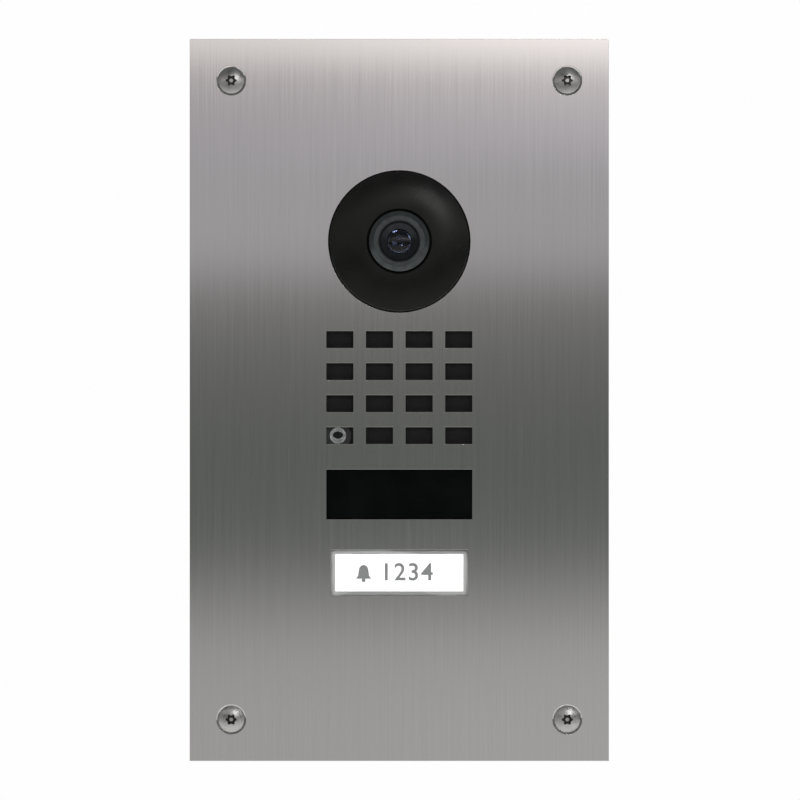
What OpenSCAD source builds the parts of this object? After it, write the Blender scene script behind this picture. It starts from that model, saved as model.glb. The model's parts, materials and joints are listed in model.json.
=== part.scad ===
// Flush-mounted video door intercom with one call button, taken apart into its real pieces.
// X points right as a visitor faces it, Y points into the wall and Z points up.
// The plane y = 0 is the finished wall, and the origin is the middle of the front panel on it.

/* [Front panel] */
// Width of the steel panel
panel_w = 101; // [98:1:140]
// Height of the steel panel
panel_h = 174; // [172:1:240]
// Thickness of the steel sheet
panel_t = 2; // [1.5:0.1:3]
// Distance of each corner screw from the two nearest edges
screw_inset = 10; // [9:0.5:11]
// Thickness of the gasket between panel and wall
gasket_t = 1; // [0.8:0.1:2]
// Width that the panel overhangs the wall box on every side
overhang = 4; // [3:0.5:6]

/* [Panel screws] */
// Thread diameter of the panel screws
screw_d = 3.5; // [3:0.1:3.6]
// Diameter of the screw heads
screw_head_d = 6.3; // [5.6:0.1:6.6]
// Diameter of the countersinks on the panel's face
screw_sink_d = 7.2; // [6.8:0.1:7.4]
// Length of the screw shanks
screw_len = 14; // [10:1:18]
// Outer diameter of the pin recess
recess_d = 2.7; // [2.2:0.1:3]

/* [Camera] */
// Height of the camera above the middle of the panel
camera_z = 38.2; // [37:0.1:44]
// Diameter of the black camera cover
camera_d = 34; // [28:0.5:36]
// Diameter of the lens barrel's front
lens_d = 14.5; // [13.2:0.1:15]
// Number of infrared lamp positions around the lens
lamp_count = 12; // [8:1:14]
// Travel of the day and night filter
filter_travel = 8; // [7.4:0.1:8]

/* [Sound grille] */
// Height of the grille's middle above the middle of the panel
grille_z = 3; // [2:0.1:4]
// Width of one slot
slot_w = 6.5; // [4:0.1:8]
// Height of one slot
slot_h = 4.1; // [2.5:0.1:5]
// Distance between the middles of neighbouring slots across
slot_pitch_x = 9.55; // [9:0.05:9.8]
// Distance between the middles of neighbouring slots upwards
slot_pitch_z = 7.72; // [6.5:0.02:7.8]
// Number of slots across and upwards
slot_count = 4; // [3:1:4]

/* [Sensor window] */
// Height of the window's middle above the middle of the panel
window_z = -22.75; // [-24:0.05:-22.5]
// Width of the window opening
window_w = 35.15; // [28:0.05:42.5]
// Height of the window opening
window_h = 12.04; // [9:0.02:13]

/* [Call button] */
// Height of the button's middle above the middle of the panel
button_z = -41.65; // [-44:0.05:-41.5]
// Width of the button cap
button_w = 32.3; // [27:0.1:39]
// Height of the button cap
button_h = 10.4; // [9:0.1:12]
// Travel of the button
button_travel = 1; // [0.6:0.1:1.2]
// Gap between the cap and the panel's opening
button_gap = 0.35; // [0.2:0.05:0.5]

/* [Speaker and microphone] */
// Diameter of the speaker frame
speaker_d = 28; // [26:0.5:28]
// Travel of the cone to each side of rest
cone_travel = 0.4; // [0.2:0.1:0.4]
// Diameter of the microphone capsule
mic_d = 4; // [3:0.1:4.4]
// Place of the microphone across the panel
mic_x = -14.8; // [-15:0.1:-14]

/* [Electronics module] */
// Distance from the front to the rear of the module housing
module_d = 22.8; // [22:0.1:28]
// Wall thickness of the module housing and its cover
module_wall = 2; // [1.6:0.1:2.5]
// Gap between the module and the wall box at each side
module_gap = 2.5; // [1.5:0.1:4]
// Height of the posts that carry the circuit boards
post_h = 8.4; // [8.4:0.1:10]
// Thickness of the main circuit board
board_t = 1.6; // [1.2:0.1:2]

/* [Wall box] */
// Depth of the wall box behind the finished wall
box_d = 46; // [42:1:70]
// Wall thickness of the wall box
box_wall = 2; // [1.6:0.1:3]
// Diameter of the conduit entry in the bottom
conduit_d = 20.3; // [16.3:0.1:25.3]
// Diameter of the grommet hole in the top
grommet_d = 16; // [12:0.5:20]
// Distance between the fixing holes across
fixing_w = 60; // [40:1:64]
// Distance between the fixing holes upwards
fixing_h = 120; // [80:1:124]
// Diameter of the fixing holes
fixing_d = 4.6; // [4.2:0.1:5.4]

/* [Hidden] */

$fn = 64;
eps = 0.01;                 // cuts run this far past the face that they open
fit = 0.05;                 // radial gap of a screw in its thread or a lens in its bore
loose = 0.15;               // gap at each side of a piece that drops into place

// Depth of each layer, from the panel's face back into the wall
y_face = -gasket_t - panel_t;
y_back = -gasket_t;
seal_t = 1.6;               // foam between the panel and the module housing
y_plate = y_back + seal_t;
y_inside = y_plate + module_wall;
y_board = y_inside + post_h;
y_board_rear = y_board + board_t;
y_rim = y_plate + module_d;
cover_seal_t = 0.6;
y_cover = y_rim + cover_seal_t;
y_cover_rear = y_cover + module_wall;

// Wall box and module outlines
box_w = panel_w - 2 * overhang;
box_h = panel_h - 2 * overhang;
screw_x = panel_w / 2 - screw_inset;
screw_z = panel_h / 2 - screw_inset;
boss_r = 4.5;               // corner bosses that take the panel screws
module_w = box_w - 2 * (box_wall + module_gap);
plate_h = 2 * (screw_z - boss_r - module_gap);
ear_h = 7;                  // part of the front plate past the housing's end walls
module_h = plate_h - 2 * ear_h;
module_r = 2;
inner_w = module_w - 2 * module_wall;
inner_h = module_h - 2 * module_wall;

// Fasteners
stud_r = 1.5;
stud_x = module_w / 2 - 12;
stud_z = plate_h / 2 - ear_h / 2;
nut_h = 2.4;
cover_screw_r = 1.5;
cover_boss_r = 3;
cover_screw_x = inner_w / 2 - 2.4;
cover_screw_zs = [-inner_h / 2 + 2.5, 0, inner_h / 2 - 2.5];
small_screw_r = 1;
small_head_r = 1.9;
small_head_h = 1.3;
small_screw_len = 4.4;
post_r = 2.2;

// Main board, as wide as the cover bosses allow
main_w = 2 * (cover_screw_x - cover_boss_r - 0.6);
main_top = camera_z - 19.2;
main_bottom = -inner_h / 2 + 2;
main_h = main_top - main_bottom;
main_post_x = main_w / 2 - 2.6;
main_post_zs = [main_bottom + 2.6, -20, main_top - 2.6];

// Camera, measured out from the lens axis
cover_r = camera_d / 2;
cover_skin = 1.5;
cover_flange_r = cover_r + 2;
cover_seal_gap = 0.6;
cover_edge = 0.3;           // the cover stands this far out of the panel at its rim
cover_crown = 2;            // and this far at its crown
lens_r = lens_d / 2;
cover_bore_r = lens_r + loose;
lens_front = y_face - 3.2;
barrel_r = 6;
barrel_rear = y_inside + 4.4;
glass_r = 4.6;
lamp_ring_r = (cover_bore_r + cover_r) / 2 - 0.2;
ir_board_t = 1.2;
ir_board_r = cover_r - 1.3;
ir_ledge_r = cover_r - 2.2;
camera_board_w = 32;
camera_board_h = 31;
camera_board_t = 1.2;
camera_post = 13;
mount_w = 2 * (filter_travel + 6.5);
mount_h = 14;
mount_front = y_board - 4;
carriage_y = y_board - 2.8;
carriage_t = 1;
carriage_h = 8.8;
pane_pitch = filter_travel;
pane = 6.6;
sensor_t = 1.2;

// Speaker, measured back from the housing's front plate
speaker_r = speaker_d / 2;
speaker_hole_r = speaker_r - 1.4;
roll_out_r = speaker_r - 1.5;
roll_in_r = speaker_r - 3.6;
coil_r = 4;
magnet_r = 8.1;
frame_d = 4.4;
magnet_front = y_inside + 3.6;
magnet_rear = y_inside + 7;
magnet_gap_d = 2.8;         // depth of the ring gap that the coil moves in
grille_w = (slot_count - 1) * slot_pitch_x + slot_w;
grille_h = (slot_count - 1) * slot_pitch_z + slot_h;
membrane_w = grille_w + 3.2;
membrane_h = grille_h + 3.9;
membrane_t = 0.3;
mic_r = mic_d / 2;
mic_z = grille_z - (slot_count - 1) / 2 * slot_pitch_z;
mic_boot_r = mic_r + 1.2;
mic_front = y_back + 0.25;
mic_len = 2.2;
mic_boot_rear = y_inside + 0.6;

// Sensor window
window_flange = 1.9;        // the flange is this much wider than the opening on each side
window_recess = 0.5;
window_seal_t = 0.5;
reader_t = 1;
reader_w = window_w + 3;
reader_h = window_h + 3;
stake_x = window_w / 2 + 0.2;

// Call button, at rest
opening_w = button_w + 2 * button_gap;
opening_h = button_h + 2 * button_gap;
cap_flange = 1.5;           // part of the flange behind the panel on each side
cap_flange_t = 1.1;
flange_w = opening_w + 2 * cap_flange;
flange_h = opening_h + 2 * cap_flange;
cap_proud = 0.8;
cap_skin = 1;
cap_wall = 0.65;
card_t = 0.3;
carrier_t = 1.4;
carrier_rear = y_back + cap_flange_t + carrier_t;
well_w = flange_w + 0.4;
well_h = flange_h + 0.4;
well_wall = 1.5;
button_board_y = carrier_rear + 4.6;
button_board_t = 1;
well_floor = button_board_y + button_board_t;
switch_h = 3.1;
plunger_r = 1.7;
spring_x = button_w / 2 - 2.7;
spring_r = 1.6;
spring_wire_r = 0.2;
spring_turns = 5;

// Rear side of the main board
jack_x = -main_w / 2 + 16;
jack_z = main_bottom + 15;
jack_w = 16;
terminal_count = 8;
terminal_pitch = 3.81;
terminal_x = main_w / 2 - 20;
terminal_z = main_bottom + 15;
terminal_h = 10;
terminal_top = y_cover_rear - 0.6;
reset_x = main_w / 2 - 8;
reset_z = main_top - 11;
reset_r = 1.75;
reset_travel = 0.5;

// Wall box
insert_len = 8;
insert_r = 2.6;
conduit_y = box_d / 2 - 1;
rib = 1.5;

// ---------- Shapes that repeat ----------

// A flat shape drawn across X and Z, filling the depths y0 to y1
module layer(y0, y1) {
    translate([0, y1, 0]) rotate([90, 0, 0]) linear_extrude(y1 - y0) children();
}

// A profile of [radius, depth] points, turned about the Y axis at [x, z]
module turned(x, z, points) {
    translate([x, 0, z]) rotate([-90, 0, 0]) rotate_extrude() polygon(points);
}

// A round bar along Y at [x, z]
module rod(x, z, r, y0, y1) {
    translate([x, y0, z]) rotate([-90, 0, 0]) cylinder(r = r, h = y1 - y0);
}

// A block around [x, z] that fills the depths y0 to y1
module block(x, z, w, h, y0, y1) {
    translate([x - w / 2, y0, z - h / 2]) cube([w, y1 - y0, h]);
}

module round_rect(w, h, r) {
    square([w - 2 * r, h], center = true);
    square([w, h - 2 * r], center = true);
    for (x = [-1, 1], z = [-1, 1]) translate([x * (w / 2 - r), z * (h / 2 - r)]) circle(r);
}

module frame_2d(w, h, inner_w, inner_h, r) {
    difference() {
        round_rect(w, h, r);
        square([inner_w, inner_h], center = true);
    }
}

module at_corners(x, z) {
    for (i = [-1, 1], k = [-1, 1]) translate([i * x, 0, k * z]) children();
}

module pan_screw(head_r, head_h, shank_r, shank_len, y_seat, way = 1) {
    // way 1 drives the screw towards the visitor, from behind its seat
    translate([0, y_seat, 0]) scale_way(way) difference() {
        turned(0, 0, [[0, head_h], [head_r * 0.6, head_h], [head_r * 0.9, head_h * 0.75],
            [head_r, head_h * 0.4], [head_r, 0], [shank_r, 0], [shank_r, -shank_len], [0, -shank_len]]);
        for (a = [0, 90]) rotate([0, a, 0])
            block(0, 0, head_r * 1.1, head_r * 0.28, head_h * 0.45, head_h + eps);
    }
}

module scale_way(way) {
    if (way > 0) children();
    else mirror([0, 1, 0]) children();
}

// Points on a circular arc in a [radius, depth] profile
function arc(cr, cy, r, a0, a1, n = 8) =
    [for (i = [0:n]) let (a = a0 + (a1 - a0) * i / n) [cr + r * cos(a), cy + r * sin(a)]];

// ---------- Front panel and its fixings ----------

module slot_places() {
    mid = (slot_count - 1) / 2;
    for (i = [0:slot_count - 1], k = [0:slot_count - 1])
        translate([(i - mid) * slot_pitch_x, grille_z + (k - mid) * slot_pitch_z]) children();
}

module front_panel() {
    sink_depth = screw_sink_d / 2 - screw_d / 2 - 0.25;
    color("#9a9a98") difference() {
        layer(y_face, y_back) square([panel_w, panel_h], center = true);
        layer(y_face - eps, y_back + eps) {
            translate([0, camera_z]) circle(cover_r + loose);
            slot_places() square([slot_w, slot_h], center = true);
            translate([0, window_z]) square([window_w, window_h], center = true);
            translate([0, button_z]) square([opening_w, opening_h], center = true);
        }
        for (x = [-1, 1], z = [-1, 1])
            turned(x * screw_x, z * screw_z, [[0, y_face - eps], [screw_sink_d / 2, y_face - eps],
                [screw_sink_d / 2, y_face], [screw_sink_d / 2 - sink_depth, y_face + sink_depth],
                [screw_sink_d / 2 - sink_depth, y_back + eps], [0, y_back + eps]]);
    }
}

// Raised countersunk screw with a six-lobed recess and a centre pin
module panel_screw() {
    head_r = screw_head_d / 2;
    seat = y_face + (screw_sink_d - screw_head_d) / 2 - 2 * fit;
    neck = seat + head_r - screw_d / 2;
    rise = 0.75;
    crown_r = (head_r * head_r + rise * rise) / (2 * rise);
    edge_a = asin(head_r / crown_r);
    recess_floor = seat + 0.6;
    difference() {
        turned(0, 0, concat(arc(0, seat - rise + crown_r, crown_r, -90, -90 + edge_a),
            [[screw_d / 2, neck], [screw_d / 2, neck + screw_len], [0, neck + screw_len]]));
        difference() {
            layer(seat - rise - eps, recess_floor) {
                circle(recess_d / 2 * 0.76);
                for (a = [0:60:300]) rotate(a) translate([recess_d / 2 * 0.76, 0])
                    circle(recess_d / 2 * 0.24);
            }
            rod(0, 0, recess_d / 6, seat - 0.45, recess_floor + eps);
        }
    }
}

module panel_screws() {
    color("#a6a6a4") at_corners(screw_x, screw_z) panel_screw();
}

module panel_gasket() {
    color("#26272a") layer(y_back, 0)
        frame_2d(panel_w - 1, panel_h - 1, box_w + 0.4, box_h + 0.4, 0.5);
}

// Studs welded to the panel's rear face
module panel_studs() {
    color("#b3b4b2") at_corners(stud_x, stud_z)
        turned(0, 0, [[0, y_back], [2.2, y_back], [2.2, y_back + 0.4], [stud_r, y_back + 0.6],
            [stud_r, y_inside + nut_h + 2], [stud_r - 0.4, y_inside + nut_h + 2.4],
            [0, y_inside + nut_h + 2.4]]);
}

module stud_nuts() {
    color("#c2b280") at_corners(stud_x, stud_z) difference() {
        union() {
            layer(y_inside, y_inside + nut_h) circle(r = 3.17, $fn = 6);
            rod(0, 0, 3.4, y_inside, y_inside + 0.5);
        }
        rod(0, 0, stud_r + fit, y_inside - eps, y_inside + nut_h + eps);
    }
}

// ---------- Camera ----------

module camera_cover() {
    rim_y = y_face - cover_edge;
    crown_y = y_face - cover_crown;
    crown_x = cover_bore_r + 1.2;
    // a shallow dome between the rim fillet and the lens opening
    dome = [for (i = [0:10]) let (t = i / 10)
        [crown_x + (cover_r - 0.4 - crown_x) * t, crown_y + (cover_crown - cover_edge - 0.3) * t * t]];
    under = [for (p = dome) [min(p[0], cover_r - cover_skin), p[1] + cover_skin]];
    color("#101212") turned(0, camera_z, concat(
        [[cover_bore_r, crown_y + 0.5], [cover_bore_r + 0.5, crown_y]], dome,
        [[cover_r, rim_y + 0.4], [cover_r, y_plate - 1], [cover_flange_r, y_plate - 1],
            [cover_flange_r, y_plate], [cover_r - cover_skin, y_plate]],
        [for (i = [10:-1:0]) under[i]],
        [[crown_x, y_plate], [cover_bore_r, y_plate]]));
}

module camera_seal() {
    color("#1c1c1e") turned(0, camera_z, [[cover_r + loose, y_back], [cover_flange_r, y_back],
        [cover_flange_r, y_back + cover_seal_gap], [cover_r + loose, y_back + cover_seal_gap]]);
}

module lens_barrel() {
    shoulder = y_plate + 0.8;
    ring_seat = lens_front + 2.6;
    color("#3d4043") turned(0, camera_z, [[glass_r + 0.5, lens_front],
        [lens_r - 1.1, lens_front], [lens_r, lens_front + 0.9], [lens_r, shoulder],
        [barrel_r, shoulder], [barrel_r, barrel_rear], [glass_r, barrel_rear],
        [glass_r, barrel_rear - 5.6], [glass_r - 1.4, barrel_rear - 5.8], [glass_r - 1.4, ring_seat],
        [glass_r + 0.1, ring_seat], [glass_r + 0.1, lens_front + 0.5]]);
}

module lens_retaining_ring() {
    y0 = lens_front + 0.35;
    color("#2a2c2f") turned(0, camera_z, [[glass_r - 1.6, y0 + 0.9], [glass_r - 0.2, y0],
        [glass_r + 0.05, y0 + 0.2], [glass_r + 0.05, y0 + 1.2], [glass_r - 1.6, y0 + 1.2]]);
}

module lens_front_element() {
    y0 = lens_front + 0.35 + 1.2;
    color("#20263c") turned(0, camera_z, concat(
        arc(0, y0 + 5.85, 6.5, -90, -90 + asin((glass_r - 1.65) / 6.5)),
        [[glass_r - 1.65, y0 + eps], [glass_r, y0 + eps], [glass_r, y0 + 1], [glass_r - 1.7, y0 + 1]],
        arc(0, y0 - 1.6, 3.95, 48, 90)));
}

// The rear group: three elements with spacers between them
module lens_rear_elements() {
    color("#c9d4d6") for (i = [0:2]) let (y0 = barrel_rear - 5.4 + 1.8 * i, r = glass_r - fit)
        turned(0, camera_z, concat([[0, y0]], [[r - 0.8, y0 + 0.25], [r, y0 + 0.25], [r, y0 + 1.75],
            [r - 0.8, y0 + 1.75]], arc(0, y0 + 1.3 - 8, 8, 90 - asin((r - 0.9) / 8), 90, 6)));
}

module lens_mount() {
    tower_r = 8;
    well = carriage_y - 0.2;
    color("#1a1b1d") difference() {
        union() {
            rod(0, camera_z, tower_r, y_inside + 0.4, mount_front + eps);
            block(0, camera_z, mount_w, mount_h, mount_front, y_board);
        }
        rod(0, camera_z, barrel_r + fit, y_plate, barrel_rear + 0.1);
        rod(0, camera_z, 4.2, barrel_rear, y_board);
        block(0, camera_z, mount_w - 3, mount_h - 4, well, y_board + eps);
        block(0, camera_z + mount_h / 2, pane_pitch + 2.6, 5, well, carriage_y + carriage_t + 0.2);
    }
}

// Slides across, so that either the infrared filter or the clear pane sits behind the lens
module filter_carriage() {
    color("#232427") difference() {
        union() {
            block(pane_pitch / 2, camera_z, pane_pitch + 9, carriage_h,
                carriage_y, carriage_y + carriage_t);
            block(pane_pitch / 2, camera_z + carriage_h / 2 + 1.2, 1.8, 2.6,
                carriage_y, carriage_y + carriage_t);
        }
        for (x = [0, pane_pitch]) {
            block(x, camera_z, pane - 0.8, pane - 0.8, carriage_y - eps, carriage_y + carriage_t + eps);
            block(x, camera_z, pane + 0.1, pane + 0.1, carriage_y - eps, carriage_y + 0.6);
        }
    }
}

module filter_panes() {
    color("#7fb8a8") for (x = [0, pane_pitch])
        block(x, camera_z, pane, pane, carriage_y + 0.05, carriage_y + 0.6);
}

// Coil on an iron core that pulls the carriage's drive tab to one side or the other
module filter_actuator() {
    z0 = camera_z + mount_h / 2 + 1.9;
    color("#8c4a2c") {
        for (x = [-5, 5]) block(x, z0, 1.6, 3, y_board - 3.4, y_board);
        difference() {
            translate([0, y_board - 1.75, z0]) rotate([0, 90, 0])
                cylinder(r = 1.45, h = 8.4, center = true);
            block(0, z0, 0.4, 3.2, y_board - 3.4, y_board);
        }
    }
}

module image_sensor() {
    color("#2f3436") difference() {
        block(0, camera_z, 9, 8, y_board - sensor_t, y_board);
        block(0, camera_z, 6.4, 4.8, y_board - sensor_t - eps, y_board - sensor_t + 0.3);
    }
}

module camera_board() {
    color("#1f5a3c") difference() {
        block(0, camera_z, camera_board_w, camera_board_h, y_board, y_board + camera_board_t);
        at_corners(camera_post, camera_post) translate([0, 0, camera_z])
            rod(0, 0, small_screw_r + fit, y_board - eps, y_board + camera_board_t + eps);
    }
    color("#202224") {
        block(-6, camera_z + 2, 7, 7, y_board + camera_board_t, y_board + camera_board_t + 0.9);
        block(6, camera_z + 4, 5, 4, y_board + camera_board_t, y_board + camera_board_t + 0.9);
    }
}

// Flat flexible cable between the connectors of the camera board and the main board
module camera_ribbon() {
    cable_w = 10;
    cable_t = 0.2;
    z_top = camera_z - camera_board_h / 2 + 2.5;
    z_low = main_top - 2.5;
    y_top = y_board + camera_board_t + 0.8;
    y_low = y_board_rear + 0.8;
    steps = 16;
    route = [for (i = [0:steps]) let (t = i / steps)
        [y_top + (y_low - y_top) * t + 2.4 * pow(sin(180 * t), 2), z_top + (z_low - z_top) * t]];
    color("#d9d4c4") translate([cable_w / 2, 0, 0]) rotate([90, 0, -90]) linear_extrude(cable_w)
        polygon(concat([for (p = route) [-p[0], p[1]]],
            [for (i = [steps:-1:0]) [-route[i][0] - cable_t, route[i][1]]]));
    color("#2b2d30") {
        block(0, z_top + 1.2, cable_w + 3, 2.4, y_board + camera_board_t, y_top + cable_t);
        block(0, z_low - 1.2, cable_w + 3, 2.4, y_board_rear, y_low + cable_t);
    }
}

module ir_board() {
    color("#20242a") turned(0, camera_z, [[cover_bore_r + 1.3, y_plate], [ir_board_r, y_plate],
        [ir_board_r, y_plate + ir_board_t], [cover_bore_r + 1.3, y_plate + ir_board_t]]);
    // daylight sensor in the lowest lamp position
    color("#4a3a58") block(0, camera_z - lamp_ring_r, 2.2, 2, y_plate - 0.9, y_plate);
}

module ir_lamps() {
    color("#d8d2c0") for (i = [0:lamp_count - 1]) let (a = -90 + i * 360 / lamp_count)
        if (i > 0) translate([lamp_ring_r * cos(a), 0, camera_z + lamp_ring_r * sin(a)])
            rotate([0, -a, 0]) {
                block(0, 0, 2.8, 2.8, y_plate - 0.8, y_plate);
                turned(0, 0, concat(arc(0, y_plate - 0.8, 1.1, -90, 0, 6), [[0, y_plate - 0.8]]));
            }
}

// ---------- Speaker and microphone ----------

module grille_membrane() {
    color("#17181a") layer(y_back, y_back + membrane_t) difference() {
        translate([0, grille_z]) square([membrane_w, membrane_h], center = true);
        translate([mic_x, mic_z]) circle(mic_boot_r);
    }
}

module speaker_gasket() {
    color("#2c2c2e") layer(y_back + membrane_t, y_plate) difference() {
        union() {
            translate([0, grille_z])
                frame_2d(membrane_w, membrane_h, membrane_w - 3, membrane_h - 3, 0.5);
            intersection() {
                translate([mic_x, mic_z]) circle(mic_boot_r + 1.3);
                translate([0, grille_z]) square([membrane_w, membrane_h], center = true);
            }
        }
        translate([mic_x, mic_z]) circle(mic_boot_r);
    }
}

module speaker_frame() {
    color("#33363a") difference() {
        turned(0, grille_z, [[roll_out_r + 0.02, y_inside], [speaker_r, y_inside],
            [speaker_r, y_inside + frame_d], [magnet_r, y_inside + frame_d],
            [magnet_r, magnet_front], [speaker_r - 0.9, magnet_front],
            [speaker_r - 0.9, y_inside + 1], [roll_out_r + 0.02, y_inside + 1]]);
        for (a = [30, 90, 150, 210, 330])
            rod((speaker_r - 3.2) * cos(a), grille_z + (speaker_r - 3.2) * sin(a), 1.5,
                magnet_front - eps, y_inside + frame_d + eps);
    }
}

// Half roll of thin rubber between the cone and the frame
module speaker_surround() {
    mid = (roll_in_r + roll_out_r) / 2;
    r = (roll_out_r - roll_in_r) / 2;
    y0 = y_inside + 1;
    color("#161719") turned(0, grille_z, concat(arc(mid, y0, r, 180, 360, 12),
        [[roll_out_r + 0.5, y0], [roll_out_r + 0.5, y0 + 0.2], [roll_out_r - 0.2, y0 + 0.2]],
        arc(mid, y0, r - 0.2, 360, 180, 12)));
}

module speaker_cone() {
    y0 = y_inside + 1.05;
    y_neck = y_inside + 2.6;
    t = 0.25;
    rise = 1.2;
    cap_r = (coil_r * coil_r + rise * rise) / (2 * rise);
    cap_a = asin(coil_r / cap_r);
    color("#4b4a44") turned(0, grille_z, concat(
        arc(0, y_neck - rise + cap_r, cap_r, -90, -90 + cap_a),
        [[roll_in_r - 0.05, y0], [roll_in_r - 0.05, y0 + t], [coil_r + 0.3, y_neck + t]],
        arc(0, y_neck - rise + cap_r, cap_r - t, -90 + cap_a, -90)));
}

module speaker_voice_coil() {
    y1 = magnet_front + magnet_gap_d - 2 * cone_travel;
    color("#b87333") turned(0, grille_z, [[coil_r - 0.25, y_inside + 2.85],
        [coil_r + 0.05, y_inside + 2.85], [coil_r + 0.05, y_inside + 4],
        [coil_r + 0.3, y_inside + 4], [coil_r + 0.3, y1], [coil_r - 0.25, y1]]);
}

// Steel pot with the magnet and pole piece inside, open at the gap for the coil
module speaker_magnet() {
    color("#8d9093") turned(0, grille_z, [[0, magnet_front], [coil_r - 0.7, magnet_front],
        [coil_r - 0.7, magnet_front + magnet_gap_d], [coil_r + 0.8, magnet_front + magnet_gap_d],
        [coil_r + 0.8, magnet_front], [magnet_r - 0.1, magnet_front], [magnet_r - 0.1, magnet_rear - 0.5],
        [magnet_r - 0.6, magnet_rear], [0, magnet_rear]]);
}

module microphone() {
    color("#c9cbcc") difference() {
        rod(mic_x, mic_z, mic_r - 0.03, mic_front, mic_front + mic_len);
        rod(mic_x, mic_z, mic_r * 0.7, mic_front - eps, mic_front + 0.2);
    }
}

module microphone_boot() {
    color("#232325") difference() {
        rod(mic_x, mic_z, mic_boot_r - 0.02, y_back, mic_boot_rear);
        rod(mic_x, mic_z, mic_r, y_back - eps, mic_front + mic_len);
        for (x = [-0.8, 0.8]) rod(mic_x + x, mic_z, 0.34, mic_front, mic_boot_rear + eps);
    }
}

// ---------- Sensor window ----------

module sensor_window() {
    color("#0b0b0d") translate([0, 0, window_z]) {
        block(0, 0, window_w - 2 * loose, window_h - 2 * loose,
            y_face + window_recess, y_back + window_seal_t);
        block(0, 0, window_w + 2 * window_flange, window_h + 2 * window_flange,
            y_back + window_seal_t, y_plate);
    }
}

module window_seal() {
    color("#1c1c1e") translate([0, 0, window_z]) layer(y_back, y_back + window_seal_t)
        frame_2d(window_w + 2 * window_flange, window_h + 2 * window_flange,
            window_w, window_h, 0.4);
}

// Motion sensor and card reader: the aerial's flat turns are on the front of the board
module reader_board() {
    color("#1f5a3c") translate([0, 0, window_z]) difference() {
        block(0, 0, reader_w + 3, reader_h, y_inside, y_inside + reader_t);
        for (x = [-1, 1]) rod(x * (stake_x + 1.2), 0, 1, y_inside - eps, y_inside + reader_t + eps);
    }
    color("#b87333") translate([0, 0, window_z]) for (i = [0:2])
        layer(y_inside - 0.12, y_inside) difference() {
            square([window_w - 3.4 - 3 * i, window_h - 2.2 - 2.4 * i], center = true);
            square([window_w - 4.4 - 3 * i, window_h - 3.2 - 2.4 * i], center = true);
        }
    color("#202224") for (x = [-5, 7])
        block(x, window_z + 1, 5, 5, y_inside + reader_t, y_inside + reader_t + 0.9);
}

// ---------- Call button ----------

module button_cap() {
    color("#e8eaea") translate([0, 0, button_z]) difference() {
        union() {
            layer(y_face - cap_proud, y_back + eps) round_rect(button_w, button_h, 0.5);
            block(0, 0, flange_w, flange_h, y_back, y_back + cap_flange_t);
        }
        block(0, 0, button_w - 2 * cap_wall, button_h - 2 * cap_wall,
            y_face - cap_proud + cap_skin, y_back + cap_flange_t + eps);
    }
}

module nameplate_card() {
    y0 = y_face - cap_proud + cap_skin;
    color("#fafafa") block(0, button_z, button_w - 2 * cap_wall - 0.2,
        button_h - 2 * cap_wall - 0.2, y0, y0 + card_t);
}

module button_light_guide() {
    y0 = y_face - cap_proud + cap_skin + card_t;
    color("#eef3f4") difference() {
        block(0, button_z, button_w - 2 * cap_wall - 0.3, button_h - 2 * cap_wall - 0.3,
            y0, y_back + cap_flange_t);
        for (x = [-1, 1]) rod(x * button_w / 4, button_z, 1.6, y_back, y_back + cap_flange_t + eps);
    }
}

// Frame behind the cap, with light openings at each side of the pad that works the switch
module button_carrier() {
    y0 = y_back + cap_flange_t;
    color("#d4d6d6") difference() {
        block(0, button_z, flange_w, flange_h, y0, carrier_rear);
        for (x = [-1, 1]) block(x * button_w / 4, button_z, 7, flange_h - 5, y0 - eps, carrier_rear + eps);
    }
}

function helix(i) = let (a = i * 30, turns = spring_turns)
    [spring_r * cos(a), carrier_rear + spring_wire_r
        + (button_board_y - carrier_rear - 2 * spring_wire_r) * i / (12 * turns), spring_r * sin(a)];

// A coil spring as one swept tube of six sides
module coil_spring() {
    n = 12 * spring_turns;
    points = [for (i = [0:n]) let (p = helix(i), a = i * 30) for (k = [0:5])
        [p[0] + spring_wire_r * cos(60 * k) * cos(a), p[1] + spring_wire_r * sin(60 * k),
            p[2] + spring_wire_r * cos(60 * k) * sin(a)]];
    sides = [for (i = [0:n - 1], k = [0:5]) let (m = (k + 1) % 6)
        [6 * i + k, 6 * i + m, 6 * i + 6 + m, 6 * i + 6 + k]];
    polyhedron(points = points, faces = concat(sides,
        [[for (k = [5:-1:0]) k]], [[for (k = [0:5]) 6 * n + k]]), convexity = 8);
}

module button_springs() {
    color("#b8bbbd") for (x = [-1, 1]) translate([x * spring_x, 0, button_z]) coil_spring();
}

module button_seal() {
    color("#2b2b2d") translate([0, 0, button_z]) layer(y_back, y_plate)
        frame_2d(well_w + 4, well_h + 3.6, well_w + 0.6, well_h + 0.6, 0.5);
}

module button_board() {
    color("#1f5a3c") translate([0, 0, button_z]) difference() {
        block(0, 0, well_w - 0.6, well_h - 0.6, button_board_y, well_floor);
        for (x = [-1, 1]) rod(x * (well_w / 2 - 3), x * (well_h / 2 - 2.6), small_screw_r + fit,
            button_board_y - eps, well_floor + eps);
    }
}

module button_lamps() {
    color("#f2efdf") for (x = [-1, 1], dx = [-1.6, 1.6])
        block(x * button_w / 4 + dx, button_z, 1.6, 2.4, button_board_y - 0.6, button_board_y);
}

module call_switch() {
    y0 = button_board_y - switch_h;
    color("#1b1c1e") difference() {
        block(0, button_z, 6, 6, y0, button_board_y);
        rod(0, button_z, plunger_r + 0.1, y0 - eps, button_board_y - 0.5);
    }
}

module call_switch_plunger() {
    color("#c8a13a") rod(0, button_z, plunger_r, carrier_rear, button_board_y - 0.5 - button_travel - 0.1);
}

// ---------- Module housing ----------

module stud_holes() {
    for (x = [-1, 1], z = [-1, 1]) translate([x * stud_x, z * stud_z]) circle(stud_r + 0.2);
}

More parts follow.
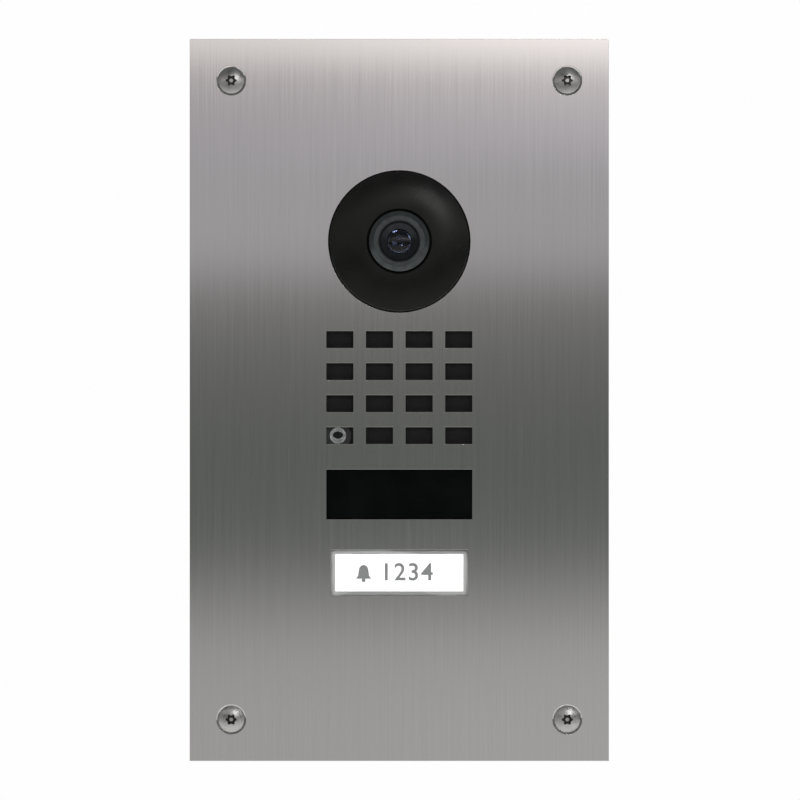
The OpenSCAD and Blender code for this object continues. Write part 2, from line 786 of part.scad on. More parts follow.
module cover_places() {
    for (x = [-1, 1], z = cover_screw_zs) translate([x * cover_screw_x, 0, z]) children();
}

module board_post(y0, y1) {
    difference() {
        rod(0, 0, post_r, y0, y1);
        rod(0, 0, small_screw_r + fit, y1 - small_screw_len, y1 + eps);
    }
}

module module_housing() {
    color("#3a3d40") difference() {
        union() {
            layer(y_plate, y_inside) difference() {
                round_rect(module_w, plate_h, module_r);
                stud_holes();
                translate([0, camera_z]) circle(ir_ledge_r);
                translate([0, grille_z]) circle(speaker_hole_r);
                translate([mic_x, mic_z]) circle(mic_boot_r);
                translate([0, window_z]) square([window_w - 1.6, window_h - 1.6], center = true);
                translate([0, button_z]) square([well_w, well_h], center = true);
            }
            layer(y_inside - eps, y_rim) difference() {
                round_rect(module_w, module_h, module_r);
                square([inner_w, inner_h], center = true);
            }
            cover_places() difference() {
                rod(0, 0, cover_boss_r, y_inside - eps, y_rim);
                rod(0, 0, cover_screw_r + fit, y_rim - 9, y_rim + eps);
            }
            translate([0, 0, camera_z]) at_corners(camera_post, camera_post)
                board_post(y_inside - eps, y_board);
            for (x = [-1, 1], z = main_post_zs) translate([x * main_post_x, 0, z])
                board_post(y_inside - eps, y_board);
            // ring that locates the speaker
            turned(0, grille_z, [[speaker_r + loose, y_inside - eps], [speaker_r + 1.3, y_inside - eps],
                [speaker_r + 1.3, y_inside + 3], [speaker_r + loose, y_inside + 3]]);
            // stakes that hold the reader board
            for (x = [-1, 1]) turned(x * (stake_x + 1.2), window_z, [[0, y_inside - eps],
                [0.95, y_inside - eps], [0.95, y_inside + reader_t], [1.6, y_inside + reader_t],
                [1.2, y_inside + reader_t + 0.6], [0, y_inside + reader_t + 0.7]]);
            button_well();
        }
        // the infrared lamp ring drops in from the front onto a ledge
        rod(0, camera_z, ir_board_r + loose, y_plate - eps, y_plate + ir_board_t);
    }
}

module button_well() {
    translate([0, 0, button_z]) difference() {
        union() {
            block(0, 0, well_w + 2 * well_wall, well_h + 2 * well_wall,
                y_inside - eps, well_floor + well_wall);
            for (x = [-1, 1]) rod(x * (well_w / 2 - 3), x * (well_h / 2 - 2.6), post_r,
                well_floor, y_board - 0.4);
        }
        block(0, 0, well_w, well_h, y_inside - 1, well_floor);
        for (x = [-1, 1]) rod(x * (well_w / 2 - 3), x * (well_h / 2 - 2.6), small_screw_r + fit,
            well_floor - eps, y_board);
        block(0, 0, 9, 2.6, well_floor - eps, well_floor + well_wall + eps);
    }
}

module housing_seal() {
    color("#1e1e20") layer(y_back, y_plate) difference() {
        frame_2d(module_w - 1, plate_h - 1, module_w - 9, plate_h - 15, module_r);
        for (x = [-1, 1], z = [-1, 1]) translate([x * stud_x, z * stud_z]) circle(2.4);
    }
}

module cover_seal() {
    color("#b4472e") layer(y_rim, y_cover) difference() {
        round_rect(module_w - 0.4, module_h - 0.4, module_r);
        square([inner_w, inner_h], center = true);
        for (x = [-1, 1], z = cover_screw_zs) translate([x * cover_screw_x, z])
            circle(cover_screw_r + 0.3);
    }
}

module module_cover() {
    color("#46494c") difference() {
        union() {
            layer(y_cover, y_cover_rear) round_rect(module_w, module_h, module_r);
            // lip that centres the cover in the housing
            layer(y_rim - 1, y_cover + eps) difference() {
                square([inner_w - 0.4, inner_h - 0.4], center = true);
                square([inner_w - 2.4, inner_h - 2.4], center = true);
                for (x = [-1, 1], z = cover_screw_zs) translate([x * cover_screw_x, z])
                    circle(cover_boss_r + 0.3);
            }
        }
        cover_places() rod(0, 0, cover_screw_r + 0.2, y_cover - eps, y_cover_rear + eps);
        block(jack_x, jack_z, jack_w + 0.6, jack_w + 0.6, y_rim - 1 - eps, y_cover_rear + eps);
        block(terminal_x, terminal_z, terminal_count * terminal_pitch + 0.6, terminal_h + 0.6,
            y_rim - 1 - eps, y_cover_rear + eps);
        rod(reset_x, reset_z, reset_r + 0.25, y_cover - eps, y_cover_rear + eps);
    }
}

module cover_screws() {
    color("#b9bbbb") cover_places() pan_screw(2.8, 1.9, cover_screw_r, 8, y_cover_rear);
}

// ---------- Circuit boards ----------

module main_board() {
    color("#1c5238") difference() {
        block(0, (main_top + main_bottom) / 2, main_w, main_h, y_board, y_board_rear);
        for (x = [-1, 1], z = main_post_zs)
            rod(x * main_post_x, z, small_screw_r + fit, y_board - eps, y_board_rear + eps);
    }
}

// The same small screw holds the main, camera and button boards
module board_screws() {
    color("#c4c6c6") {
        for (x = [-1, 1], z = main_post_zs) translate([x * main_post_x, 0, z])
            small_screw(y_board_rear, 1);
        translate([0, 0, camera_z]) at_corners(camera_post, camera_post)
            small_screw(y_board + camera_board_t, 1);
        for (x = [-1, 1]) translate([x * (well_w / 2 - 3), 0, button_z + x * (well_h / 2 - 2.6)])
            small_screw(button_board_y, -1);
    }
}

module small_screw(y_seat, way) {
    pan_screw(small_head_r, small_head_h, small_screw_r, small_screw_len, y_seat, way);
}

// Pin rows and spring contacts between the boards, the speaker and the microphone
module pin_row(x, z, count, y0) {
    color("#d6b65c") for (i = [0:count - 1])
        rod(x + (i - (count - 1) / 2) * 1.6, z, 0.3, y0, y_board - 1.8);
    color("#1d1e20") block(x, z, count * 1.6, 2, y_board - 1.8, y_board);
}

module board_headers() {
    pin_row(0, grille_z - speaker_r + 2.8, 2, y_inside + frame_d);
    pin_row(mic_x, mic_z, 2, mic_front + mic_len);
    pin_row(-stake_x + 5, window_z - 1, 4, y_inside + reader_t);
    pin_row(0, button_z, 4, well_floor);
    pin_row(0, camera_z - lamp_ring_r - 0.4, 3, y_plate + ir_board_t);
}

// Integrated circuits, storage capacitors and the supply transformer on the main board
module main_board_parts() {
    chips = [[-10, main_top - 14, 14, 14, 1.4], [14.5, main_top - 8, 9, 11, 1], [-8, -25, 7, 7, 0.9],
        [-26, main_top - 10, 5, 6, 1.2]];
    color("#202224") for (c = chips)
        block(c[0], c[1], c[2], c[3], y_board_rear, y_board_rear + c[4]);
    color("#2b3a55") for (z = [-12, -23]) rod(-24.5, z, 3.6, y_board_rear, y_board_rear + 9);
    color("#c7a244") block(-12, -14, 11, 9, y_board_rear, y_board_rear + 7);
}

module ethernet_jack() {
    y1 = y_cover_rear;
    color("#c6c8c9") translate([jack_x, 0, jack_z]) difference() {
        block(0, 0, jack_w, jack_w, y_board_rear, y1);
        block(0, 0.6, 11.8, 7.2, y1 - 11, y1 + eps);
        block(0, 0.6 - 4.4, 6.2, 1.8, y1 - 11, y1 + eps);
        block(0, 0.6 - 5.8, 3.4, 1.4, y1 - 11, y1 + eps);
    }
    color("#d6b65c") for (i = [0:7])
        block(jack_x + (i - 3.5) * 1.02, jack_z + 3.7, 0.4, 1.1, y1 - 10.8, y1 - 2.5);
}

module terminal_places() {
    for (i = [0:terminal_count - 1])
        translate([terminal_x + (i - (terminal_count - 1) / 2) * terminal_pitch, 0, terminal_z])
            children();
}

module terminal_block() {
    color("#3f7d4c") difference() {
        block(terminal_x, terminal_z, terminal_count * terminal_pitch, terminal_h,
            y_board_rear, terminal_top);
        terminal_places() {
            block(0, 2.4, 2.6, 2.6, terminal_top - 7, terminal_top + eps);
            rod(0, -2.4, 1.5, terminal_top - 4, terminal_top + eps);
        }
    }
}

module terminal_screws() {
    color("#bfc2c2") terminal_places() difference() {
        rod(0, -2.4, 1.4, terminal_top - 4, terminal_top - 0.8);
        block(0, -2.4, 0.5, 3, terminal_top - 1.5, terminal_top - 0.8 + eps);
    }
}

module relays() {
    color("#2c5f9e") for (z = [-8, -22])
        block(main_w / 2 - 13, z, 15.5, 11, y_board_rear, y_board_rear + 9.6);
}

module reset_switch() {
    color("#1b1c1e") difference() {
        block(reset_x, reset_z, 6, 6, y_board_rear, y_board_rear + 3.5);
        rod(reset_x, reset_z, reset_r + 0.1, y_board_rear + 0.6, y_board_rear + 3.5 + eps);
    }
}

module reset_button() {
    color("#c23b2a") rod(reset_x, reset_z, reset_r, y_board_rear + 0.7 + reset_travel, y_cover_rear + 0.6);
}

// ---------- Wall box ----------

module back_box() {
    color("#5a5c5e") difference() {
        union() {
            layer(0, box_d) difference() {
                round_rect(box_w, box_h, 2.5);
                square([box_w - 2 * box_wall, box_h - 2 * box_wall], center = true);
            }
            layer(box_d - box_wall, box_d) round_rect(box_w, box_h, 2.5);
            at_corners(screw_x, screw_z) rod(0, 0, boss_r, 0, box_d - box_wall + eps);
            // webs that tie each boss to the two walls beside it
            for (x = [-1, 1], z = [-1, 1]) {
                block(x * (screw_x + box_w / 2) / 2, z * screw_z, box_w / 2 - screw_x, 2.4,
                    0, box_d - box_wall + eps);
                block(x * screw_x, z * (screw_z + box_h / 2) / 2, 2.4, box_h / 2 - screw_z,
                    0, box_d - box_wall + eps);
            }
            // ribs that key the box into the mortar
            for (y = [0.17, 0.83]) layer(box_d * y, box_d * y + rib)
                frame_2d(box_w + 2 * rib, box_h + 2 * rib, box_w - 1, box_h - 1, 2);
        }
        at_corners(screw_x, screw_z) {
            rod(0, 0, insert_r, -eps, insert_len);
            rod(0, 0, screw_d / 2 + 0.2, 0, screw_len + 4);
        }
        at_corners(fixing_w / 2, fixing_h / 2)
            rod(0, 0, fixing_d / 2, box_d - box_wall - eps, box_d + eps);
        translate([0, conduit_y, -box_h / 2 - 2]) cylinder(d = conduit_d, h = box_wall + 4);
        translate([0, conduit_y, box_h / 2 - box_wall - 2]) cylinder(d = grommet_d, h = box_wall + 4);
    }
}

module box_inserts() {
    color("#c9a653") at_corners(screw_x, screw_z) difference() {
        rod(0, 0, insert_r - 0.02, 0, insert_len);
        rod(0, 0, screw_d / 2 + fit, -eps, insert_len + eps);
    }
}

// Rubber grommet with a thin membrane that the cable pierces
module cable_grommet() {
    r = grommet_d / 2;
    z0 = box_h / 2 - box_wall;
    color("#2a2b2d") translate([0, conduit_y, 0]) rotate_extrude() polygon([
        [0, z0 - 0.4], [r - 2.4, z0 - 0.4], [r - 2, z0 - 1.6], [r + 2, z0 - 1.6], [r + 2, z0],
        [r - 0.05, z0], [r - 0.05, z0 + box_wall], [r + 1.6, z0 + box_wall],
        [r + 1.2, z0 + box_wall + 1.2], [r - 1.8, z0 + box_wall + 1.2], [r - 2.4, z0 + 0.4],
        [0, z0 + 0.4]]);
}

front_panel();
panel_screws();
panel_gasket();
panel_studs();
stud_nuts();
camera_cover();
camera_seal();
lens_barrel();
lens_retaining_ring();
lens_front_element();
lens_rear_elements();
lens_mount();
filter_carriage();
filter_panes();
filter_actuator();
image_sensor();
camera_board();
camera_ribbon();
ir_board();
ir_lamps();
grille_membrane();
speaker_gasket();
speaker_frame();
speaker_surround();
speaker_cone();
speaker_voice_coil();
speaker_magnet();
microphone();
microphone_boot();
sensor_window();
window_seal();
reader_board();
button_cap();
nameplate_card();
button_light_guide();
button_carrier();
button_springs();
button_seal();
button_board();
button_lamps();
call_switch();
call_switch_plunger();
module_housing();
housing_seal();
module_cover();
cover_seal();
cover_screws();
main_board();
board_screws();
board_headers();
main_board_parts();
ethernet_jack();
terminal_block();
terminal_screws();
relays();
reset_switch();
reset_button();
back_box();
box_inserts();
cable_grommet();
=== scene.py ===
"""Looks of the flush-mounted door intercom: finishes, detailed pieces, lights and the camera.

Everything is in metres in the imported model's frame: X points to a visitor's right, Y into the wall
and Z up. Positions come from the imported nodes' boxes, and small details from the named sizes below.
"""
import itertools
import json
import math

import bmesh
import bpy
from mathutils import Matrix, Vector
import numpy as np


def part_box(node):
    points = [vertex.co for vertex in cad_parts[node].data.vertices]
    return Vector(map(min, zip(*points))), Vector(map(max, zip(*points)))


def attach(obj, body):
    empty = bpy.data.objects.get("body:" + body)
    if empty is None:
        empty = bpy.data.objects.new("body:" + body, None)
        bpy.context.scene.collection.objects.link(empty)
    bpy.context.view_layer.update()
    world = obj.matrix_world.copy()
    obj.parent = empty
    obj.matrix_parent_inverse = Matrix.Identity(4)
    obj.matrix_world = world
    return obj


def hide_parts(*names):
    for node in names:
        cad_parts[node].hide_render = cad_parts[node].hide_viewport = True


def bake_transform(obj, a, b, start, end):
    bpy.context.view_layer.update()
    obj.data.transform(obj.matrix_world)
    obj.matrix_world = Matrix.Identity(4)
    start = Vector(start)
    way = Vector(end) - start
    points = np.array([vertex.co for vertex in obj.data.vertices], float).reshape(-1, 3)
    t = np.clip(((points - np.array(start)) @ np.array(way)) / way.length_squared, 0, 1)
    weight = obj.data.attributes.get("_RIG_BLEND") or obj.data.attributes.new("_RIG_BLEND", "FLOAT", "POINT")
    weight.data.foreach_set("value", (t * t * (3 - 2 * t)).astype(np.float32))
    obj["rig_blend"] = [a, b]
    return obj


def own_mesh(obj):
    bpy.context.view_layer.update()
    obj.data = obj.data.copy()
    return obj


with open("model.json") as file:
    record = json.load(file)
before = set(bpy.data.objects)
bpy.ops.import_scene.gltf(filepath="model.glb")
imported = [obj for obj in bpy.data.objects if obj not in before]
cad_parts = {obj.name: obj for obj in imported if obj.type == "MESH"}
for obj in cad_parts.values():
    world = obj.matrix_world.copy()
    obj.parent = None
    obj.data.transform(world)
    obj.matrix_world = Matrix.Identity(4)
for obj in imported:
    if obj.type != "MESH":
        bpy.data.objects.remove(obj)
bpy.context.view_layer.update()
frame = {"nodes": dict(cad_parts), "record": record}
MM = 0.001
NODES = frame["nodes"]
SLOT_OF = {p["node"]: p["material_slot"] for p in frame["record"]["subparts"]}


# ---------- Materials ----------

class Finish:
    """A node material in the making, with short calls for what the finishes share.

    Texture scales are repeats in a metre, so 1000 is a grain of about a millimetre.
    """

    def __init__(self, name, colour, roughness=0.5, metallic=0.0, **sockets):
        self.mat = bpy.data.materials.new(name)
        self.mat.use_nodes = True
        self.tree = self.mat.node_tree
        self.shader = self.tree.nodes["Principled BSDF"]
        self.shader.inputs["Base Color"].default_value = (*colour[:3], 1)
        self.shader.inputs["Roughness"].default_value = roughness
        self.shader.inputs["Metallic"].default_value = metallic
        for socket, value in sockets.items():
            self.shader.inputs[socket.replace("_", " ")].default_value = value
        self.mat.diffuse_color = (*colour[:3], 1)
        self.height = None

    def node(self, kind, **settings):
        made = self.tree.nodes.new(kind)
        for key, value in settings.items():
            setattr(made, key, value)
        return made

    def link(self, a, b):
        self.tree.links.new(a, b)

    def coords(self, scale=(1, 1, 1), turn=(0, 0, 0)):
        """Object coordinates in metres, scaled for each axis."""
        place = self.node("ShaderNodeTexCoord")
        mapping = self.node("ShaderNodeMapping")
        mapping.inputs["Scale"].default_value = scale
        mapping.inputs["Rotation"].default_value = turn
        self.link(place.outputs["Object"], mapping.inputs["Vector"])
        return mapping.outputs["Vector"]

    def noise(self, scale, detail=3, stretch=(1, 1, 1), roughness=0.5, distortion=0.0):
        tex = self.node("ShaderNodeTexNoise")
        tex.inputs["Scale"].default_value = scale
        tex.inputs["Detail"].default_value = detail
        tex.inputs["Roughness"].default_value = roughness
        tex.inputs["Distortion"].default_value = distortion
        self.link(self.coords(stretch), tex.inputs["Vector"])
        return tex.outputs["Fac"]

    def grains(self, scale):
        tex = self.node("ShaderNodeTexVoronoi")
        tex.inputs["Scale"].default_value = scale
        self.link(self.coords(), tex.inputs["Vector"])
        return tex.outputs["Distance"]

    def remap(self, value, low, high, lo_in=0.3, hi_in=0.7):
        """Value between lo_in and hi_in spread over low to high."""
        tex = self.node("ShaderNodeMapRange")
        limits = {"From Min": lo_in, "From Max": hi_in, "To Min": low, "To Max": high}
        for name, number in limits.items():
            tex.inputs[name].default_value = number
        self.link(value, tex.inputs["Value"])
        return tex.outputs["Result"]

    def ramp(self, value, stops):
        """stops are (position, colour) pairs."""
        tex = self.node("ShaderNodeValToRGB")
        ends = tex.color_ramp.elements
        while len(ends) < len(stops):
            ends.new(0.5)
        for end, (at, colour) in zip(ends, stops):
            end.position = at
            end.color = (*colour[:3], 1)
        self.link(value, tex.inputs["Fac"])
        return tex.outputs["Color"]

    def mix(self, factor, a, b):
        """Colour a where the factor is 0, and b where it is 1."""
        tex = self.node("ShaderNodeMix", data_type="RGBA")
        for value, socket in ((factor, tex.inputs["Factor"]), (a, tex.inputs[6]), (b, tex.inputs[7])):
            if isinstance(value, (tuple, list)):
                socket.default_value = (*value[:3], 1)
            elif isinstance(value, float):
                socket.default_value = value
            else:
                self.link(value, socket)
        return tex.outputs[2]

    def colour(self, socket):
        self.link(socket, self.shader.inputs["Base Color"])

    def rough(self, socket):
        self.link(socket, self.shader.inputs["Roughness"])

    def bump(self, height, distance, strength=1.0):
        """Adds a height map on top of any earlier one; the distance is its relief in metres."""
        tex = self.node("ShaderNodeBump")
        tex.inputs["Distance"].default_value = distance
        tex.inputs["Strength"].default_value = strength
        self.link(height, tex.inputs["Height"])
        if self.height is not None:
            self.link(self.height, tex.inputs["Normal"])
        self.height = tex.outputs["Normal"]
        self.link(self.height, self.shader.inputs["Normal"])

    def painted_recess_shade(self, colour, shade, reach):
        """The colour, turning to a painted shade colour in recesses narrower than the reach, found by
        ambient occlusion.
        """
        seen = self.node("ShaderNodeAmbientOcclusion", only_local=True, samples=8)
        seen.inputs["Distance"].default_value = reach
        return self.mix(self.remap(seen.outputs["AO"], 0.0, 1.0, 0.35, 0.85), shade, colour)


def tint(colour, share):
    """The colour made darker or lighter."""
    return tuple(min(1.0, c * share) for c in colour[:3])


def moulded(name, colour, roughness=0.5, grain=9000, relief=0.012, spread=0.12):
    """Moulded plastic with a fine spark-eroded grain, its relief in mm, and slight flow marks."""
    f = Finish(name, colour, roughness)
    flow = f.noise(60, 4, (1, 1, 0.35))
    f.colour(f.ramp(flow, [(0.3, tint(colour, 1 - spread)), (0.7, tint(colour, 1 + spread))]))
    fine = f.noise(grain, 2)
    f.rough(f.remap(fine, roughness - 0.08, roughness + 0.1))
    f.bump(fine, relief * MM)
    return f.mat


def rubber(name, colour, roughness=0.75, **sockets):
    """Dull elastomer with a dusty bloom."""
    f = Finish(name, colour, roughness, **sockets)
    bloom = f.noise(450, 5)
    f.colour(f.ramp(bloom, [(0.35, colour), (0.75, tint(colour, 1.9))]))
    pores = f.grains(4200)
    f.rough(f.remap(bloom, roughness - 0.12, roughness + 0.1))
    f.bump(pores, 0.02 * MM, 0.6)
    return f.mat


def metal(name, colour, roughness=0.3, lines=(900, 900, 900), relief=0.004, shade=0.25):
    """Plated or turned metal with fine tool lines, faint handling marks and painted shade that darkens its
    recesses.
    """
    f = Finish(name, colour, roughness, 1.0)
    marks = f.noise(350, 4)
    plain = f.ramp(marks, [(0.3, tint(colour, 0.86)), (0.7, tint(colour, 1.06))])
    # painted shade: the base colour darkens in recesses by ambient occlusion, towards the shade share of the
    # colour
    f.colour(f.painted_recess_shade(plain, tint(colour, shade), 1.5 * MM))
    tool = f.noise(1, 3, lines)
    f.rough(f.remap(tool, roughness - 0.07, roughness + 0.12))
    f.bump(tool, relief * MM)
    return f.mat


def glass(name, colour, roughness=0.02, ior=1.5, mirror=0.5, coat=None):
    """Optical glass, slightly smeared, with a tinted coating if a coat colour is given."""
    f = Finish(name, colour, roughness, IOR=ior, Transmission_Weight=1.0, Specular_IOR_Level=mirror)
    smear = f.noise(220, 4)
    f.rough(f.remap(smear, roughness, roughness + 0.03))
    if coat:
        f.shader.inputs["Coat Weight"].default_value = 0.6
        f.shader.inputs["Coat Tint"].default_value = (*coat, 1)
        f.shader.inputs["Coat Roughness"].default_value = 0.02
    return f.mat


def circuit(name, mask, track):
    """Solder mask with tracks that show as slightly raised, lighter lines and small plated vias."""
    f = Finish(name, mask, 0.35, Coat_Weight=0.3, Coat_Roughness=0.15)
    bricks = f.node("ShaderNodeTexBrick")
    bricks.inputs["Scale"].default_value = 260
    bricks.inputs["Mortar Size"].default_value = 0.035
    bricks.inputs["Color1"].default_value = (0, 0, 0, 1)
    bricks.inputs["Color2"].default_value = (0, 0, 0, 1)
    bricks.inputs["Mortar"].default_value = (1, 1, 1, 1)
    f.link(f.coords((1, 1, 1), (math.radians(90), 0, 0)), bricks.inputs["Vector"])
    patches = f.remap(f.noise(90, 2), 0.0, 1.0, 0.45, 0.55)
    lines = f.mix(patches, (0, 0, 0), bricks.outputs["Color"])
    board = f.mix(lines, mask, track)
    vias = f.remap(f.grains(420), 1.0, 0.0, 0.10, 0.14)
    f.colour(f.mix(vias, board, (0.55, 0.5, 0.4)))
    f.bump(lines, 0.03 * MM)
    return f.mat


def brushed_steel(name, colour):
    """Stainless sheet brushed up and down, so that its highlights spread across the grain."""
    f = Finish(name, colour, 0.2, 1.0, Anisotropic=0.9)
    hairlines = f.noise(1, 2, (7000, 300, 45))
    streaks = f.noise(1, 2, (2400, 60, 14))
    clouds = f.noise(30, 4, (1, 1, 0.7))
    grain = f.mix(0.4, hairlines, streaks)
    lines = f.ramp(grain, [(0.30, tint(colour, 0.93)), (0.70, tint(colour, 1.06))])
    f.colour(f.mix(f.remap(clouds, 0.0, 0.5), lines, tint(colour, 0.97)))
    f.rough(f.remap(grain, 0.14, 0.21))
    f.bump(hairlines, 0.0012 * MM)
    f.bump(streaks, 0.0014 * MM)
    across = f.node("ShaderNodeCombineXYZ")     # the highlight spreads along this tangent
    across.inputs["X"].default_value = 1.0
    across.inputs["Y"].default_value = 0.02
    f.link(across.outputs[0], f.shader.inputs["Tangent"])
    return f.mat


def woven(name, colour):
    """Fine acoustic cloth: two crossed sets of threads."""
    f = Finish(name, colour, 0.85)
    waves = []
    for axis in ("X", "Z"):
        wave = f.node("ShaderNodeTexWave", bands_direction=axis)
        wave.inputs["Scale"].default_value = 900
        wave.inputs["Distortion"].default_value = 0.4
        f.link(f.coords(), wave.inputs["Vector"])
        waves.append(wave.outputs["Fac"])
    both = f.node("ShaderNodeMath", operation="MULTIPLY")
    f.link(waves[0], both.inputs[0])
    f.link(waves[1], both.inputs[1])
    f.colour(f.ramp(both.outputs[0], [(0.1, tint(colour, 0.5)), (0.8, tint(colour, 1.7))]))
    f.bump(both.outputs[0], 0.05 * MM)
    return f.mat


def smoked(name, colour, roughness=0.06, specular=0.5):
    """Polished dark plastic with a hard, faintly hazed surface and hair scratches."""
    f = Finish(name, colour, roughness, Specular_IOR_Level=specular)
    haze = f.noise(140, 4)
    scratches = f.noise(1, 1, (2600, 2600, 90))
    f.colour(f.ramp(haze, [(0.35, tint(colour, 0.8)), (0.7, tint(colour, 1.35))]))
    f.rough(f.remap(haze, roughness, roughness + 0.09))
    f.bump(scratches, 0.0008 * MM)
    return f.mat


def anodised(name, colour):
    """Black anodised metal, turned in fine rings about the lens axis."""
    f = Finish(name, colour, 0.34, 0.75)
    rings = f.node("ShaderNodeTexWave", wave_type="RINGS", rings_direction="Y")
    rings.inputs["Scale"].default_value = 1500
    rings.inputs["Distortion"].default_value = 0.6
    place = f.node("ShaderNodeTexCoord")
    shift = f.node("ShaderNodeMapping")
    shift.inputs["Location"].default_value = -lens_axis
    f.link(place.outputs["Object"], shift.inputs["Vector"])
    f.link(shift.outputs["Vector"], rings.inputs["Vector"])
    f.colour(f.ramp(f.noise(500, 3), [(0.3, tint(colour, 0.8)), (0.7, tint(colour, 1.25))]))
    f.rough(f.remap(rings.outputs["Fac"], 0.26, 0.42, 0.0, 1.0))
    f.bump(rings.outputs["Fac"], 0.006 * MM)
    return f.mat


def card_stock(name, colour):
    """Uncoated printed card; the light from behind through the light guide is painted as the card's own
    glow.
    """
    # painted light: the card's own emission stands in for the backlight
    f = Finish(name, colour, 0.8, Emission_Strength=0.45)
    fibres = f.noise(1, 4, (2500, 2500, 900))
    f.colour(f.ramp(fibres, [(0.3, tint(colour, 0.95)), (0.7, colour)]))
    f.shader.inputs["Emission Color"].default_value = (1.0, 0.99, 0.97, 1)
    f.bump(fibres, 0.01 * MM)
    return f.mat


def clear(name, colour, alpha, roughness=0.12):
    """Thin clear plastic: what is behind it shows, and its face still catches the light."""
    f = Finish(name, colour, roughness, Alpha=alpha, Coat_Weight=0.4, Coat_Roughness=0.05)
    haze = f.noise(300, 3)
    f.rough(f.remap(haze, roughness - 0.04, roughness + 0.06))
    f.colour(f.ramp(haze, [(0.3, tint(colour, 0.96)), (0.7, colour)]))
    return f.mat


def winding(name, colour):
    """Closely wound enamelled wire."""
    f = Finish(name, colour, 0.28, 0.9, Coat_Weight=0.6)
    wave = f.node("ShaderNodeTexWave", bands_direction="DIAGONAL")
    wave.inputs["Scale"].default_value = 1600
    f.link(f.coords(), wave.inputs["Vector"])
    f.colour(f.ramp(wave.outputs["Fac"], [(0.2, tint(colour, 0.45)), (0.7, colour)]))
    f.bump(wave.outputs["Fac"], 0.05 * MM)
    return f.mat


def pulp(name, colour):
    """Pressed fibre of a speaker cone."""
    f = Finish(name, colour, 0.9)
    fibres = f.noise(1600, 6, (1, 1, 1), 0.7, 1.5)
    f.colour(f.ramp(fibres, [(0.3, tint(colour, 0.6)), (0.7, tint(colour, 1.5))]))
    f.bump(fibres, 0.04 * MM)
    return f.mat


# The lens axis: the middle of the barrel, across and up
low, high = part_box("lens_barrel")
lens_axis = (low + high) / 2
lens_axis.y = 0

FINISHES = {
    "panel_steel": brushed_steel("brushed_stainless", (0.60, 0.595, 0.585)),
    # the screws' recesses take a painted shade of 0.05 of their colour
    "screw_steel": metal("screw_stainless", (0.46, 0.455, 0.445), 0.30, (700, 700, 700), 0.004, 0.05),
    "zinc_steel": metal("zinc_plate", (0.66, 0.68, 0.70), 0.28),
    "brass_fastener": metal("turned_brass", (0.72, 0.52, 0.22), 0.30),
    "rubber_black": rubber("black_rubber", (0.016, 0.016, 0.017)),
    "seal_red": rubber("red_silicone", (0.42, 0.05, 0.025), 0.55, Subsurface_Weight=0.1),
    "cover_black": smoked("smoked_cover", (0.0034, 0.0037, 0.0032), 0.24, 0.20),
    "barrel_metal": anodised("anodised_barrel", (0.050, 0.056, 0.056)),
    "lens_glass": glass("coated_glass", (0.20, 0.24, 0.42), 0.01, 1.45, 0.10),
    "plastic_black": moulded("black_nylon", (0.014, 0.014, 0.015), 0.5),
    "filter_glass": glass("filter_glass", (0.45, 0.85, 0.72), 0.02, 1.5, 0.5, (1.0, 0.4, 0.35)),
    "copper_wire": winding("copper_winding", (0.70, 0.26, 0.09)),
    "sensor_die": smoked("sensor_window_glass", (0.02, 0.03, 0.05), 0.04),
    "circuit_board": circuit("green_board", (0.006, 0.085, 0.032), (0.02, 0.19, 0.07)),
    "circuit_board_black": circuit("black_board", (0.008, 0.008, 0.009), (0.03, 0.03, 0.032)),
    "ribbon_film": moulded("ribbon_film", (0.70, 0.67, 0.58), 0.35, 3000, 0.004),
    "lamp_epoxy": clear("lamp_epoxy", (0.85, 0.80, 0.62), 0.85, 0.1),
    "membrane_cloth": woven("acoustic_membrane", (0.0040, 0.0042, 0.0043)),
    "speaker_plastic": moulded("speaker_plastic", (0.03, 0.03, 0.033), 0.55),
    "cone_paper": pulp("cone_fibre", (0.055, 0.05, 0.045)),
    "magnet_steel": metal("plated_can", (0.74, 0.75, 0.76), 0.22),
    "window_black": smoked("black_acrylic", (0.0006, 0.0008, 0.0009), 0.16, 0.12),
    "cap_clear": clear("clear_cap", (0.90, 0.92, 0.92), 0.20),
    "card_white": card_stock("nameplate_card", (0.90, 0.90, 0.89)),
    "plastic_white": moulded("white_plastic", (0.70, 0.70, 0.68), 0.42, 7000, 0.006, 0.04),
    "contact_gold": metal("gold_plate", (0.85, 0.62, 0.24), 0.22),
    "housing_plastic": moulded("housing_plastic", (0.038, 0.040, 0.042), 0.52),
    "chip_black": moulded("chip_epoxy", (0.017, 0.017, 0.019), 0.6, 12000, 0.006),
    "jack_shield": metal("tinned_shield", (0.70, 0.71, 0.72), 0.28, (160, 160, 2400), 0.0012),
    "terminal_green": moulded("terminal_plastic", (0.02, 0.22, 0.06), 0.45),
    "relay_blue": moulded("relay_case", (0.015, 0.09, 0.34), 0.38, 9000, 0.004),
    "button_red": moulded("red_key", (0.50, 0.02, 0.015), 0.4),
    "box_plastic": moulded("box_plastic", (0.085, 0.09, 0.095), 0.55, 6000, 0.02),
}
# nodes whose finish differs from that of their material slot
OWN_FINISHES = {"lens_retaining_ring": anodised("black_ring", (0.016, 0.018, 0.021))}
for name, obj in NODES.items():
    obj.data.materials.clear()
    obj.data.materials.append(OWN_FINISHES.get(name, FINISHES[SLOT_OF[name]]))


# ---------- Pieces ----------

X, Y, Z = Vector((1, 0, 0)), Vector((0, 1, 0)), Vector((0, 0, 1))


def circle(count):
    """Angles of evenly spaced points on a circle."""
    return [math.tau * i / count for i in range(count)]


def piece(name, mesh, material, body):
    """A new object that rides on a CAD body."""
    obj = bpy.data.objects.new(name, mesh)
    bpy.context.scene.collection.objects.link(obj)
    mesh.materials.append(material)
    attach(obj, body)
    return obj


def round_edges(obj, width, segments=1, angle=30):
    bevel = obj.modifiers.new("bevel", "BEVEL")
    bevel.width = width
    bevel.segments = segments
    bevel.limit_method = "ANGLE"
    bevel.angle_limit = math.radians(angle)
    return bevel


